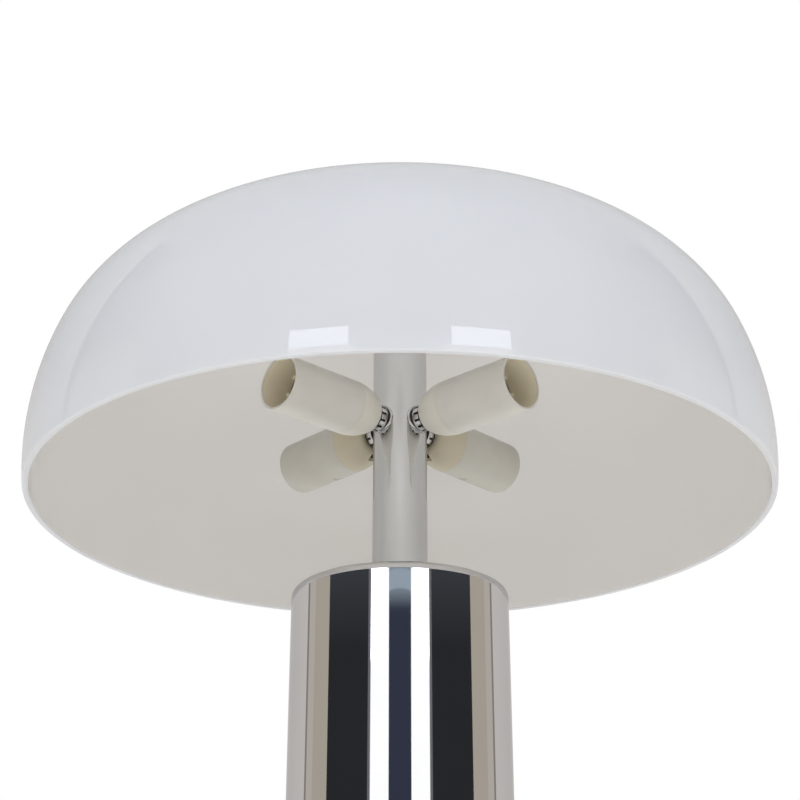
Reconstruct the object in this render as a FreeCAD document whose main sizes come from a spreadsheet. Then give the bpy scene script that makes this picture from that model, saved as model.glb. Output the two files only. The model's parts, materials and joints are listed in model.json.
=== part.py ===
import FreeCAD, Part
import math
import os
import re
import Sketcher

# Table lamp: a white acrylic dome on a chromed stem, four lampholders in a cross under the dome,
# and a wide chromed tube as the base. Millimetres, +Z up, origin on the table under the lamp's axis.

# Driving dimensions, in millimetres, degrees and counts
SIZES = {
    # base
    "pad_thickness": 3.0,
    "pad_setback": 2.0,
    "pad_opening_diameter": 40.0,
    "plate_thickness": 3.0,
    "plate_clearance": 0.3,
    "tube_diameter": 108.0,
    "tube_wall": 2.0,
    "tube_height": 268.0,
    "tube_top_thickness": 3.0,
    "tube_edge_radius": 3.9,
    "lug_count": 3,
    "first_lug_angle": 30.0,
    "lug_width": 12.0,
    "lug_depth": 13.0,
    "lug_height": 12.0,
    "base_screw_diameter": 4.0,
    "base_screw_length": 12.0,
    "base_screw_head_diameter": 7.5,
    "base_screw_head_height": 2.2,
    "pad_screw_room": 1.2,
    # weight and wiring in the base
    "ballast_gap": 6.0,
    "ballast_height": 42.0,
    "bolt_diameter": 8.0,
    "bolt_length": 22.0,
    "bolt_head_diameter": 14.0,
    "bolt_head_height": 2.4,
    "block_length": 26.0,
    "block_width": 18.0,
    "block_height": 16.0,
    "block_screw_diameter": 3.0,
    "block_screw_spacing": 18.0,
    "block_screw_grip": 8.0,
    "block_screw_head_diameter": 5.6,
    "block_screw_head_height": 2.0,
    "block_inlet_count": 3,
    "block_inlet_diameter": 3.0,
    "block_inlet_depth": 5.0,
    "block_inlet_pitch": 6.0,
    "gland_height": 22.0,
    "gland_bore_diameter": 7.2,
    "gland_barrel_diameter": 10.5,
    "gland_barrel_length": 12.0,
    "gland_flange_diameter": 16.0,
    "gland_flange_thickness": 3.0,
    "gland_flange_round": 1.2,
    "gland_nut_diameter": 16.0,
    "gland_nut_thickness": 3.0,
    # stem
    "stem_diameter": 28.0,
    "stem_wall": 1.5,
    "foot_thread_diameter": 18.0,
    "foot_bore_diameter": 12.0,
    "foot_insert": 14.0,
    "foot_drop": 14.0,
    "stem_washer_diameter": 40.0,
    "stem_washer_thickness": 2.0,
    "stem_nut_across_flats": 27.0,
    "stem_nut_thickness": 6.0,
    "hub_height": 18.0,
    "hub_bore_diameter": 12.0,
    # shade: three tangent arcs from the rim to the crown
    "shade_radius": 190.0,
    "shade_gap": 43.5,
    "shade_wall": 3.0,
    "rim_drop": 20.0,
    "side_radius": 152.4,
    "side_angle": 20.9,
    "shoulder_radius": 85.0,
    "shoulder_angle": 62.5,
    # seat and finial of the shade
    "carrier_diameter": 54.0,
    "carrier_thickness": 4.0,
    "carrier_insert": 10.0,
    "gasket_thickness": 2.5,
    "gasket_setback": 1.0,
    "stud_diameter": 10.0,
    "stud_engagement": 9.0,
    "stud_chamfer": 0.8,
    "top_washer_diameter": 30.0,
    "top_washer_thickness": 2.0,
    "finial_diameter": 20.0,
    "finial_grip": 8.0,
    "finial_crown": 8.0,
    "finial_flutes": 18,
    "finial_flute_diameter": 1.8,
    # lampholders, measured outwards from the stem
    "holder_count": 4,
    "first_holder_angle": 45.0,
    "holder_splay": 1.85,
    "holder_rise": 46.9,
    "holder_diameter": 28.2,
    "holder_turn": 14.5,
    "saddle_diameter": 15.0,
    "saddle_thickness": 1.0,
    "collar_diameter": 14.2,
    "collar_length": 5.5,
    "collar_neck_length": 1.6,
    "collar_neck_depth": 0.9,
    "collar_slits": 12,
    "slit_width": 1.3,
    "slit_depth": 1.2,
    "slit_length": 4.5,
    "cap_length": 16.5,
    "cap_end_rim": 2.1,
    "cap_wall": 1.6,
    "cap_inner_round": 1.6,
    "cap_land": 2.0,
    "cap_boss_wall": 1.5,
    "cap_boss_length": 5.85,
    "cap_spigot_length": 6.0,
    "cap_spigot_wall": 1.2,
    "notch_width": 5.0,
    "notch_length": 4.9,
    "notch_depth": 5.6,
    "seam_gap": 0.25,
    "shell_length": 44.6,
    "shell_wall": 1.1,
    "shell_lip_round": 0.5,
    "slot_reach": 16.0,
    "slot_length": 6.0,
    "slot_width": 1.0,
    "tab_count": 8,
    "tab_width": 2.0,
    "tab_depth": 1.6,
    "tab_length": 1.6,
    "core_recess": 17.2,
    "core_tail": 5.0,
    "sleeve_bore_diameter": 14.0,
    "sleeve_wall": 0.4,
    "sleeve_length": 17.0,
    "sleeve_floor": 0.4,
    "sleeve_floor_opening": 10.0,
    "sleeve_recess": 0.2,
    "contact_diameter": 6.0,
    "contact_post_diameter": 3.0,
    "contact_post_height": 0.8,
    "contact_thickness": 0.9,
    "contact_drop": 0.1,
    "contact_room": 0.5,
    "nipple_diameter": 10.0,
    "nipple_bore_diameter": 7.0,
    "lead_diameter": 3.2,
    "lead_spread": 3.0,
    "lead_bend_radius": 5.0,
    "lead_socket": 3.0,
    "lead_dip": 6.0,
    # clearances
    "seat_gap": 0.3,
    "stud_clearance": 0.5,
    "slip_gap": 0.05,
    "thread_gap": 0.05,
    "holder_gap": 0.15,
    "screw_clearance": 0.25,
    "lead_clearance": 0.2,
    "tool_margin": 2.0,
}

# Lengths worked out from the driving dimensions
WORKED_OUT = {
    "tube_radius": "tube_diameter / 2",
    "tube_bore": "tube_radius - tube_wall",
    "tube_top": "pad_thickness + tube_height",
    "tube_ceiling": "tube_top - tube_top_thickness",
    "plate_radius": "tube_bore - plate_clearance",
    "plate_top": "pad_thickness + plate_thickness",
    "pad_radius": "tube_radius - pad_setback",
    "lug_reach": "tube_bore - slip_gap",
    "screw_circle": "lug_reach - lug_depth / 2",
    "base_screw_radius": "base_screw_diameter / 2",
    "base_screw_head_radius": "base_screw_head_diameter / 2",
    "ballast_radius": "lug_reach - lug_depth - ballast_gap",
    "ballast_top": "plate_top + ballast_height",
    "bolt_radius": "bolt_diameter / 2",
    "block_top": "ballast_top + block_height",
    "block_screw_radius": "block_screw_diameter / 2",
    "gland_barrel_radius": "gland_barrel_diameter / 2",
    "gland_flange_radius": "gland_flange_diameter / 2",
    "gland_nut_radius": "gland_nut_diameter / 2",
    "gland_nut_seat": "sqrt(tube_bore^2 - gland_nut_radius^2) - slip_gap",
    "stem_radius": "stem_diameter / 2",
    "stem_bore": "stem_radius - stem_wall",
    "stem_top": "carrier_top - carrier_thickness",
    "foot_thread_radius": "foot_thread_diameter / 2",
    "foot_hole": "foot_thread_radius + screw_clearance",
    "hub_bore": "hub_bore_diameter / 2",
    "rim_height": "tube_top + shade_gap",
    "widest_height": "rim_height + rim_drop",
    "side_axis": "shade_radius - side_radius",
    "shoulder_axis": "side_axis + (side_radius - shoulder_radius) * cos(side_angle)",
    "shoulder_height": "widest_height + (side_radius - shoulder_radius) * sin(side_angle)",
    "crown_radius": "shoulder_axis / cos(shoulder_angle) + shoulder_radius",
    "crown_centre": "shoulder_height - shoulder_axis * tan(shoulder_angle)",
    "crown_inside": "crown_radius - shade_wall",
    "carrier_top": "crown_centre + crown_inside - seat_gap - gasket_thickness",
    "carrier_radius": "carrier_diameter / 2",
    "gasket_radius": "carrier_radius - gasket_setback",
    "gasket_crown": "crown_inside - seat_gap",
    "stud_radius": "stud_diameter / 2",
    "stud_thread_hole": "stud_radius + thread_gap",
    "stud_hole": "stud_radius + stud_clearance",
    "stud_foot": "stem_top - carrier_insert",
    "stud_top": "top_washer_top + stud_engagement",
    "top_washer_radius": "top_washer_diameter / 2",
    "top_washer_crown": "crown_radius + seat_gap",
    "top_washer_top": "crown_centre + top_washer_crown + top_washer_thickness",
    "finial_radius": "finial_diameter / 2",
    "finial_shoulder": "top_washer_top + finial_grip",
    "finial_top": "finial_shoulder + finial_crown",
    "finial_crown_radius": "(finial_radius^2 + finial_crown^2) / (2 * finial_crown)",
    "finial_bore_top": "stud_top + stud_clearance",
    "holder_height": "rim_height + holder_rise",
    "holder_radius": "holder_diameter / 2",
    "nipple_radius": "nipple_diameter / 2",
    "nipple_thread_hole": "nipple_radius + thread_gap",
    "nipple_hole": "nipple_radius + screw_clearance",
    "collar_start": "stem_radius + saddle_thickness",
    "collar_radius": "collar_diameter / 2",
    "cap_start": "collar_start + collar_length",
    "seam": "cap_start + cap_length",
    "mouth": "seam + shell_length",
    "cap_end_radius": "nipple_radius + cap_end_rim",
    "cap_shoulder": "holder_radius - cap_end_radius",
    "cap_end_round": "cap_wall + cap_inner_round",
    "cap_side_radius": "(cap_shoulder^2 + cap_length^2 - 2 * cap_length * cap_end_round)"
                       " / (2 * (cap_shoulder - cap_end_round))",
    "shell_bore": "holder_radius - shell_wall",
    "spigot_radius": "shell_bore - holder_gap",
    "spigot_bore": "spigot_radius - cap_spigot_wall",
    "spigot_end": "seam + cap_spigot_length",
    "cap_floor": "cap_start + cap_wall",
    "cap_boss_radius": "nipple_radius + cap_boss_wall",
    "cap_boss_end": "cap_floor + cap_boss_length",
    "core_front": "mouth - core_recess",
    "core_back": "spigot_end - core_tail",
    "core_step": "spigot_end + holder_gap",
    "core_radius": "shell_bore - holder_gap",
    "core_tail_radius": "spigot_bore - holder_gap",
    "sleeve_bore": "sleeve_bore_diameter / 2",
    "sleeve_radius": "sleeve_bore + sleeve_wall",
    "sleeve_front": "core_front - sleeve_recess",
    "sleeve_back": "sleeve_front - sleeve_length",
    "contact_radius": "contact_diameter / 2",
    "contact_top": "sleeve_back + sleeve_floor - contact_drop",
    "contact_shoulder": "contact_top - contact_thickness",
    "contact_base": "contact_shoulder - contact_post_height",
    "contact_well": "contact_radius + contact_room",
    "contact_dome_radius": "(contact_radius^2 + contact_thickness^2) / (2 * contact_thickness)",
    "lead_radius": "lead_diameter / 2",
    "lead_hole": "lead_radius + lead_clearance",
    "lead_start": "block_top - lead_dip",
    "lead_end": "core_back + lead_socket - slip_gap",
}

doc = FreeCAD.newDocument("table_lamp")
sheet = doc.addObject("Spreadsheet::Sheet", "sizes")
for row, (alias, size) in enumerate(SIZES.items(), start=1):
    sheet.set(f"A{row}", alias)
    sheet.set(f"B{row}", str(size))
    sheet.setAlias(f"B{row}", alias)
doc.recompute()


def bound(text):
    """Turn plain words into references to the sheet, with worked-out lengths written in full."""

    def swap(match):
        word = match.group()
        if word in SIZES:
            return f"sizes.{word}"
        if word in WORKED_OUT:
            return f"({bound(WORKED_OUT[word])})"
        return word

    return re.sub(r"[a-z_][a-z0-9_]*", swap, text)


def value(text):
    """The number that an expression of named sizes gives."""
    return float(sheet.evalExpression(bound(text)))


def new(kind, name, **bindings):
    """A document object whose properties are bound to expressions of named sizes."""
    thing = doc.addObject(kind, name)
    for prop, text in bindings.items():
        thing.setExpression(prop, bound(text))
    return thing


def place(thing, x="0", y="0", z="0", turns=()):
    """Bind a placement: a position, and turns (axis, degrees) of which the last acts first."""
    turned_by = " * ".join(f"rotation(vector({axis}); {bound(angle)})" for axis, angle in turns)
    turned_by = turned_by or "rotation(vector(0; 0; 1); 0)"
    position = f"vector({bound(x)}; {bound(y)}; {bound(z)})"
    thing.setExpression("Placement", f"placement({position}; {turned_by})")
    return thing


X_AXIS = "1; 0; 0"
Y_AXIS = "0; 1; 0"
Z_AXIS = "0; 0; 1"
YZ_DIAGONAL = "0; 1; 1"


def rod(name, radius, start, end, x="0", y="0"):
    """An upright cylinder from one height to another."""
    thing = new("Part::Cylinder", name, Radius=radius, Height=f"({end}) - ({start})")
    return place(thing, x, y, start)


def block(name, x, y, z, length, width, height, turns=()):
    """A box whose lowest corner is at x, y, z before its turns about the origin."""
    thing = new("Part::Box", name, Length=length, Width=width, Height=height)
    if not turns:
        return place(thing, x, y, z)
    outer = place(doc.addObject("Part::Compound", f"{name}_turned"), turns=turns)
    outer.Links = [place(thing, x, y, z)]
    return outer


def bundle(name, things):
    """One object that holds several separate solids."""
    group = doc.addObject("Part::Compound", name)
    group.Links = list(things)
    return group


def cut(name, base, tools):
    """The base with every tool taken away."""
    result = doc.addObject("Part::Cut", name)
    result.Base = base
    result.Tool = tools[0] if len(tools) == 1 else bundle(f"{name}_tools", tools)
    return result


def joined(name, things):
    """Touching solids fused into one."""
    result = doc.addObject("Part::MultiFuse", name)
    result.Shapes = list(things)
    return result


def arc_between(start, end, radius, turn):
    """A circular arc under half a turn: left turns run anticlockwise from start to end."""
    run = end - start
    rise = math.sqrt(max(radius**2 - (run.Length / 2) ** 2, 0.0))
    side = FreeCAD.Vector(-run.y, run.x, 0)
    side.normalize()
    centre = (start + end) / 2 + side * (rise if turn == "left" else -rise)
    first, last = (start, end) if turn == "left" else (end, start)
    angles = [math.atan2(point.y - centre.y, point.x - centre.x) for point in (first, last)]
    if angles[1] < angles[0]:
        angles[1] += 2 * math.pi
    circle = Part.Circle(centre, FreeCAD.Vector(0, 0, 1), radius)
    return Part.ArcOfCircle(circle, angles[0], angles[1])


def turned(name, outline):
    """A lathe piece: a closed outline of (radius, height) points, revolved about Z.

    A point may add a turn, left or right, and a radius: the side that reaches it is then an arc.
    """
    body = doc.addObject("PartDesign::Body", name)
    sketch = body.newObject("Sketcher::SketchObject", f"{name}_outline")
    plane = next(item for item in body.Origin.OriginFeatures if item.Role == "XZ_Plane")
    sketch.AttachmentSupport = [(plane, "")]
    sketch.MapMode = "FlatFace"
    corners = [FreeCAD.Vector(value(point[0]), value(point[1]), 0) for point in outline]
    ends = []
    for index, target in enumerate(outline):
        start, end = corners[index - 1], corners[index]
        if len(target) == 2:
            sketch.addGeometry(Part.LineSegment(start, end), False)
            ends.append((1, 2))
        else:
            sketch.addGeometry(arc_between(start, end, value(target[3]), target[2]), False)
            ends.append((1, 2) if target[2] == "left" else (2, 1))
    for index, target in enumerate(outline):
        after = (index + 1) % len(outline)
        here = (index, ends[index][1])
        sketch.addConstraint(Sketcher.Constraint("Coincident", *here, after, ends[after][0]))
        for kind, text, zero_line in (("DistanceX", target[0], -2), ("DistanceY", target[1], -1)):
            if text == "0":
                sketch.addConstraint(Sketcher.Constraint("PointOnObject", *here, zero_line))
                continue
            number = sketch.addConstraint(Sketcher.Constraint(kind, -1, 1, *here, value(text)))
            sketch.setExpression(f"Constraints[{number}]", bound(text))
        if len(target) == 4:
            number = sketch.addConstraint(Sketcher.Constraint("Radius", index, value(target[3])))
            sketch.setExpression(f"Constraints[{number}]", bound(target[3]))
    revolution = body.newObject("PartDesign::Revolution", f"{name}_turned")
    revolution.Profile = sketch
    revolution.ReferenceAxis = (sketch, ["V_Axis"])
    revolution.Angle = 360
    return body


def ring(name, bore, radius, start, end):
    """A plain washer, sleeve or tube about Z."""
    return turned(name, [(bore, start), (radius, start), (radius, end), (bore, end)])


parts = {}


def keep(label, thing):
    """Name a finished piece of the lamp."""
    thing.Label = label
    parts[label] = thing


# Base tube with its closed, rounded top
tube_shell = turned("tube_shell", [
    ("tube_bore", "pad_thickness"),
    ("tube_radius", "pad_thickness"),
    ("tube_radius", "tube_top - tube_edge_radius"),
    ("tube_radius - tube_edge_radius", "tube_top", "left", "tube_edge_radius"),
    ("foot_hole", "tube_top"),
    ("foot_hole", "tube_ceiling"),
    ("tube_bore", "tube_ceiling"),
])
INWARDS = [(X_AXIS, "90")]
gland_opening = place(
    new("Part::Cylinder", "gland_opening", Radius="gland_barrel_radius + screw_clearance",
        Height="tube_wall + 2 * tool_margin"),
    y="tube_radius + tool_margin", z="gland_height", turns=INWARDS)
keep("base_tube", cut("base_tube_cut", tube_shell, [gland_opening]))

# Closing plate, pad, lugs and screws, with one screw in each lug
lug_angles = [f"first_lug_angle + {index} * 360 / lug_count" for index in range(SIZES["lug_count"])]
plate_tools = [rod("plate_bolt_hole", "bolt_radius + screw_clearance",
                   "pad_thickness - tool_margin", "plate_top + tool_margin")]
pad_tools = []
lugs = []
base_screws = []
for index, angle in enumerate(lug_angles, start=1):
    spot = {"x": f"screw_circle * cos({angle})", "y": f"screw_circle * sin({angle})"}
    plate_tools.append(rod(f"plate_hole_{index}", "base_screw_radius + screw_clearance",
                           "pad_thickness - tool_margin", "plate_top + tool_margin", **spot))
    pad_tools.append(rod(f"pad_hole_{index}", "base_screw_head_radius + pad_screw_room",
                         "-tool_margin", "pad_thickness + tool_margin", **spot))
    lug_bar = block(f"lug_bar_{index}", "lug_reach - lug_depth", "-lug_width / 2", "plate_top",
                    "lug_depth + tool_margin", "lug_width", "lug_height", [(Z_AXIS, angle)])
    lug_limit = rod(f"lug_limit_{index}", "lug_reach", "plate_top", "plate_top + lug_height")
    lug = doc.addObject("Part::Common", f"lug_{index}")
    lug.Base = lug_bar
    lug.Tool = lug_limit
    lug_thread = rod(f"lug_thread_{index}", "base_screw_radius + thread_gap",
                     "plate_top - tool_margin", "plate_top + lug_height + tool_margin", **spot)
    lugs.append(cut(f"tapped_lug_{index}", lug, [lug_thread]))
    base_screws.append(joined(f"base_screw_{index}", [
        rod(f"base_screw_head_{index}", "base_screw_head_radius",
            "pad_thickness - base_screw_head_height", "pad_thickness", **spot),
        rod(f"base_screw_shank_{index}", "base_screw_radius",
            "pad_thickness", "pad_thickness + base_screw_length", **spot),
    ]))
plate_blank = rod("plate_blank", "plate_radius", "pad_thickness", "plate_top")
keep("base_plate", cut("base_plate_cut", plate_blank, plate_tools))
pad_blank = ring("pad_blank", "pad_opening_diameter / 2", "pad_radius", "0", "pad_thickness")
keep("foot_pad", cut("foot_pad_cut", pad_blank, pad_tools))
keep("tube_lugs", bundle("tube_lug_set", lugs))
keep("base_screws", bundle("base_screw_set", base_screws))

# Cast iron weight, held to the plate by one bolt from below
weight_blank = rod("weight_blank", "ballast_radius", "plate_top", "ballast_top")
weight_tools = [rod("weight_thread", "bolt_radius + thread_gap", "plate_top - tool_margin",
                    "pad_thickness + bolt_length + tool_margin")]
block_tools = []
block_screws = []
for index, side in enumerate(("-", ""), start=1):
    across = f"{side}block_screw_spacing / 2"
    weight_tools.append(rod(f"weight_tap_{index}", "block_screw_radius + thread_gap",
                            "ballast_top - block_screw_grip - tool_margin",
                            "ballast_top + tool_margin", across))
    block_tools.append(rod(f"block_pass_{index}", "block_screw_radius + screw_clearance",
                           "ballast_top - tool_margin", "block_top + tool_margin", across))
    block_screws.append(joined(f"block_screw_{index}", [
        rod(f"block_screw_head_{index}", "block_screw_head_diameter / 2",
            "block_top", "block_top + block_screw_head_height", across),
        rod(f"block_screw_shank_{index}", "block_screw_radius",
            "ballast_top - block_screw_grip", "block_top", across),
    ]))
keep("ballast", cut("ballast_cut", weight_blank, weight_tools))
keep("ballast_bolt", joined("ballast_bolt_fuse", [
    rod("bolt_head", "bolt_head_diameter / 2", "pad_thickness - bolt_head_height", "pad_thickness"),
    rod("bolt_shank", "bolt_radius", "pad_thickness", "pad_thickness + bolt_length"),
]))
keep("block_screws", bundle("block_screw_set", block_screws))

# Connector block on the weight, with sockets for the leads above and the cord behind
holder_angles = []
for index in range(SIZES["holder_count"]):
    even = f"first_holder_angle + {index} * 360 / holder_count"
    # the front arms lean towards the sides and the rear ones towards the back
    lean = "+" if math.cos(math.radians(value(even))) > 0 else "-"
    holder_angles.append(f"{even} {lean} holder_splay")
for index, angle in enumerate(holder_angles, start=1):
    block_tools.append(rod(f"block_socket_{index}", "lead_hole", "lead_start - slip_gap",
                           "block_top + tool_margin", f"lead_spread * cos({angle})",
                           f"lead_spread * sin({angle})"))
for index in range(SIZES["block_inlet_count"]):
    inlet = new("Part::Cylinder", f"block_inlet_{index + 1}", Radius="block_inlet_diameter / 2",
                Height="block_inlet_depth + tool_margin")
    across = f"({index} - (block_inlet_count - 1) / 2) * block_inlet_pitch"
    block_tools.append(place(inlet, across, "block_width / 2 + tool_margin",
                             "ballast_top + (block_height - lead_dip) / 2", INWARDS))
block_blank = block("block_blank", "-block_length / 2", "-block_width / 2", "ballast_top",
                    "block_length", "block_width", "block_height")
keep("terminal_block", cut("terminal_block_cut", block_blank, block_tools))

# Cord inlet at the back of the tube, turned about its own axis and then laid along Y
gland = turned("gland_bush", [
    ("gland_bore_diameter / 2", "0"),
    ("gland_flange_radius - gland_flange_round", "0"),
    ("gland_flange_radius", "gland_flange_round", "left", "gland_flange_round"),
    ("gland_flange_radius", "gland_flange_thickness"),
    ("gland_barrel_radius", "gland_flange_thickness"),
    ("gland_barrel_radius", "gland_flange_thickness + gland_barrel_length"),
    ("gland_bore_diameter / 2", "gland_flange_thickness + gland_barrel_length"),
])
place(gland, y="tube_radius + gland_flange_thickness", z="gland_height", turns=INWARDS)
keep("cord_gland", gland)
gland_hexagon = new("Part::Prism", "gland_hexagon", Circumradius="gland_nut_radius",
                    Height="gland_nut_thickness")
gland_thread = rod("gland_thread", "gland_barrel_radius + thread_gap", "-tool_margin",
                   "gland_nut_thickness + tool_margin")
gland_nut = cut("gland_nut_cut", gland_hexagon, [gland_thread])
keep("gland_nut", place(gland_nut, y="gland_nut_seat", z="gland_height", turns=INWARDS))

# Stem, its threaded foot through the tube's top, and the nut below
stem_blank = ring("stem_blank", "stem_bore", "stem_radius", "tube_top", "stem_top")
hub_blank = ring("hub_blank", "hub_bore", "stem_bore - slip_gap",
                 "holder_height - hub_height / 2", "holder_height + hub_height / 2")
stem_tools = []
hub_tools = []
for index, angle in enumerate(holder_angles, start=1):
    for tools, name, radius in ((stem_tools, "stem_hole", "nipple_hole"),
                                (hub_tools, "hub_thread", "nipple_thread_hole")):
        hole = new("Part::Cylinder", f"{name}_{index}", Radius=radius,
                   Height="stem_radius + tool_margin")
        tools.append(place(hole, z="holder_height", turns=[(Z_AXIS, angle), (Y_AXIS, "90")]))
keep("stem", cut("stem_cut", stem_blank, stem_tools))
keep("cluster_hub", cut("cluster_hub_cut", hub_blank, hub_tools))
keep("stem_foot", turned("stem_foot_bush", [
    ("foot_bore_diameter / 2", "tube_top - foot_drop"),
    ("foot_thread_radius", "tube_top - foot_drop"),
    ("foot_thread_radius", "tube_top"),
    ("stem_bore - slip_gap", "tube_top"),
    ("stem_bore - slip_gap", "tube_top + foot_insert"),
    ("foot_bore_diameter / 2", "tube_top + foot_insert"),
]))
keep("stem_washer", ring("stem_washer_ring", "foot_hole", "stem_washer_diameter / 2",
                         "tube_ceiling - stem_washer_thickness", "tube_ceiling"))
stem_hexagon = new("Part::Prism", "stem_hexagon", Height="stem_nut_thickness",
                   Circumradius="stem_nut_across_flats / 2 / cos(30)")
stem_thread = rod("stem_thread", "foot_thread_radius + thread_gap", "-tool_margin",
                  "stem_nut_thickness + tool_margin")
stem_nut = cut("stem_nut_cut", stem_hexagon, [stem_thread])
keep("stem_nut", place(stem_nut, z="tube_ceiling - stem_washer_thickness - stem_nut_thickness"))

# Shade: the outside rises over side, shoulder and crown, and the inside comes back parallel to it
OUTSIDE = "0"
INSIDE = "shade_wall"


def rim_point(depth):
    """Where the side arc, a given depth inside the surface, meets the rim plane."""
    return f"side_axis + sqrt((side_radius - {depth})^2 - rim_drop^2)", "rim_height"


def side_point(depth):
    """Where the side arc passes into the shoulder arc."""
    reach = f"(side_radius - {depth})"
    return f"side_axis + {reach} * cos(side_angle)", f"widest_height + {reach} * sin(side_angle)"


def shoulder_point(depth):
    """Where the shoulder arc passes into the crown."""
    reach = f"(shoulder_radius - {depth})"
    return (f"shoulder_axis + {reach} * cos(shoulder_angle)",
            f"shoulder_height + {reach} * sin(shoulder_angle)")


def crown_point(radius, sphere):
    """The point of a sphere about the crown's centre at a radius from the axis."""
    return radius, f"crown_centre + sqrt(({sphere})^2 - ({radius})^2)"


keep("shade", turned("shade_dome", [
    rim_point(OUTSIDE),
    (*side_point(OUTSIDE), "left", "side_radius"),
    (*shoulder_point(OUTSIDE), "left", "shoulder_radius"),
    (*crown_point("stud_hole", "crown_radius"), "left", "crown_radius"),
    crown_point("stud_hole", "crown_inside"),
    (*shoulder_point(INSIDE), "right", "crown_inside"),
    (*side_point(INSIDE), "right", "shoulder_radius - shade_wall"),
    (*rim_point(INSIDE), "right", "side_radius - shade_wall"),
]))

# Seat of the shade on the stem, and the stud through it
keep("shade_carrier", turned("shade_carrier_disc", [
    ("stud_thread_hole", "stud_foot"),
    ("stem_bore - slip_gap", "stud_foot"),
    ("stem_bore - slip_gap", "stem_top"),
    ("carrier_radius", "stem_top"),
    ("carrier_radius", "carrier_top"),
    ("stud_thread_hole", "carrier_top"),
]))
keep("shade_gasket", turned("shade_gasket_ring", [
    ("stud_hole", "carrier_top"),
    ("gasket_radius", "carrier_top"),
    crown_point("gasket_radius", "gasket_crown"),
    (*crown_point("stud_hole", "gasket_crown"), "left", "gasket_crown"),
]))
keep("shade_stud", turned("shade_stud_rod", [
    ("0", "stud_foot"),
    ("stud_radius", "stud_foot"),
    ("stud_radius", "stud_top - stud_chamfer"),
    ("stud_radius - stud_chamfer", "stud_top"),
    ("0", "stud_top"),
]))

# Captive washer and fluted finial above the shade
keep("top_washer", turned("top_washer_ring", [
    crown_point("stud_hole", "top_washer_crown"),
    (*crown_point("top_washer_radius", "top_washer_crown"), "right", "top_washer_crown"),
    ("top_washer_radius", "top_washer_top"),
    ("stud_hole", "top_washer_top"),
]))
finial_blank = turned("finial_blank", [
    ("stud_thread_hole", "top_washer_top"),
    ("finial_radius", "top_washer_top"),
    ("finial_radius", "finial_shoulder"),
    ("0", "finial_top", "left", "finial_crown_radius"),
    ("0", "finial_bore_top"),
    ("stud_thread_hole", "finial_bore_top"),
])
flutes = [
    rod(f"finial_flute_{index + 1}", "finial_flute_diameter / 2", "top_washer_top - tool_margin",
        "finial_top", f"finial_radius * cos({index} * 360 / finial_flutes)",
        f"finial_radius * sin({index} * 360 / finial_flutes)")
    for index in range(SIZES["finial_flutes"])
]
keep("finial", cut("finial_cut", finial_blank, flutes))


# Lampholders: each piece is made about Z, outwards from the stem's axis, with its underside at +X,
# and then laid along its own arm of the cross.
def on_arm(thing, angle, spin="0"):
    """Lay a piece along an arm, after a spin about its own axis."""
    turns = [(Z_AXIS, angle), (Y_AXIS, "90"), (Z_AXIS, spin)]
    return place(thing, z="holder_height", turns=turns)


def saddle_washer(index):
    """Thin round washer, bent to lie on the stem."""
    blank = ring(f"saddle_blank_{index}", "nipple_hole", "saddle_diameter / 2",
                 "tool_margin", "collar_start + tool_margin")
    faces = []
    for name, radius in (("outer", "collar_start"), ("inner", "stem_radius + slip_gap")):
        face = new("Part::Cylinder", f"saddle_{name}_{index}", Radius=radius,
                   Height="2 * stem_diameter")
        faces.append(place(face, x="-stem_diameter", turns=[(Y_AXIS, "90")]))
    bent = doc.addObject("Part::Common", f"saddle_bent_{index}")
    bent.Base = blank
    bent.Tool = faces[0]
    return cut(f"saddle_cut_{index}", bent, faces[1:])


def collar(index):
    """Ring nut with a neck at the end that faces the cap, and slits from there."""
    blank = turned(f"collar_blank_{index}", [
        ("nipple_hole", "collar_start"),
        ("collar_radius", "collar_start"),
        ("collar_radius", "cap_start - collar_neck_length"),
        ("collar_radius - collar_neck_depth", "cap_start - collar_neck_length"),
        ("collar_radius - collar_neck_depth", "cap_start"),
        ("nipple_hole", "cap_start"),
    ])
    slits = [
        block(f"collar_{index}_slit_{turn + 1}", "collar_radius - slit_depth",
              "-slit_width / 2", "cap_start - slit_length", "slit_depth + tool_margin",
              "slit_width", "slit_length + tool_margin",
              [(Z_AXIS, f"{turn} * 360 / collar_slits")])
        for turn in range(SIZES["collar_slits"])
    ]
    return cut(f"collar_cut_{index}", blank, slits)


def cap_point(depth):
    """Where the cap's side, a given depth inside the surface, passes into the round of its end.

    The side is an arc about a centre in the seam's plane, and it touches the end's round.
    """
    share = f"(cap_side_radius - {depth}) / (cap_side_radius - cap_end_round)"
    return (f"holder_radius - cap_side_radius + {share} * (cap_side_radius - cap_shoulder)",
            f"seam - {share} * (cap_length - cap_end_round)")


def lampholder_cap(index):
    """Inner half of the lampholder: long rounded side, threaded boss and the spigot for the shell."""
    blank = turned(f"cap_blank_{index}", [
        ("nipple_thread_hole", "cap_start"),
        ("cap_end_radius", "cap_start"),
        (*cap_point(OUTSIDE), "left", "cap_end_round"),
        ("holder_radius", "seam", "left", "cap_side_radius"),
        ("spigot_radius", "seam"),
        ("spigot_radius", "spigot_end"),
        ("spigot_bore", "spigot_end"),
        ("spigot_bore", "seam - cap_land"),
        ("holder_radius - cap_side_radius + sqrt((cap_side_radius - cap_wall)^2 - cap_land^2)",
         "seam - cap_land"),
        (*cap_point("cap_wall"), "right", "cap_side_radius - cap_wall"),
        ("cap_end_radius", "cap_floor", "right", "cap_inner_round"),
        ("cap_boss_radius", "cap_floor"),
        ("cap_boss_radius", "cap_boss_end"),
        ("nipple_thread_hole", "cap_boss_end"),
    ])
    notch = block(f"cap_notch_{index}", "holder_radius - notch_depth", "-notch_width / 2",
                  "cap_start - tool_margin", "notch_depth + tool_margin", "notch_width",
                  "notch_length + tool_margin")
    return cut(f"cap_cut_{index}", blank, [notch])


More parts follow.
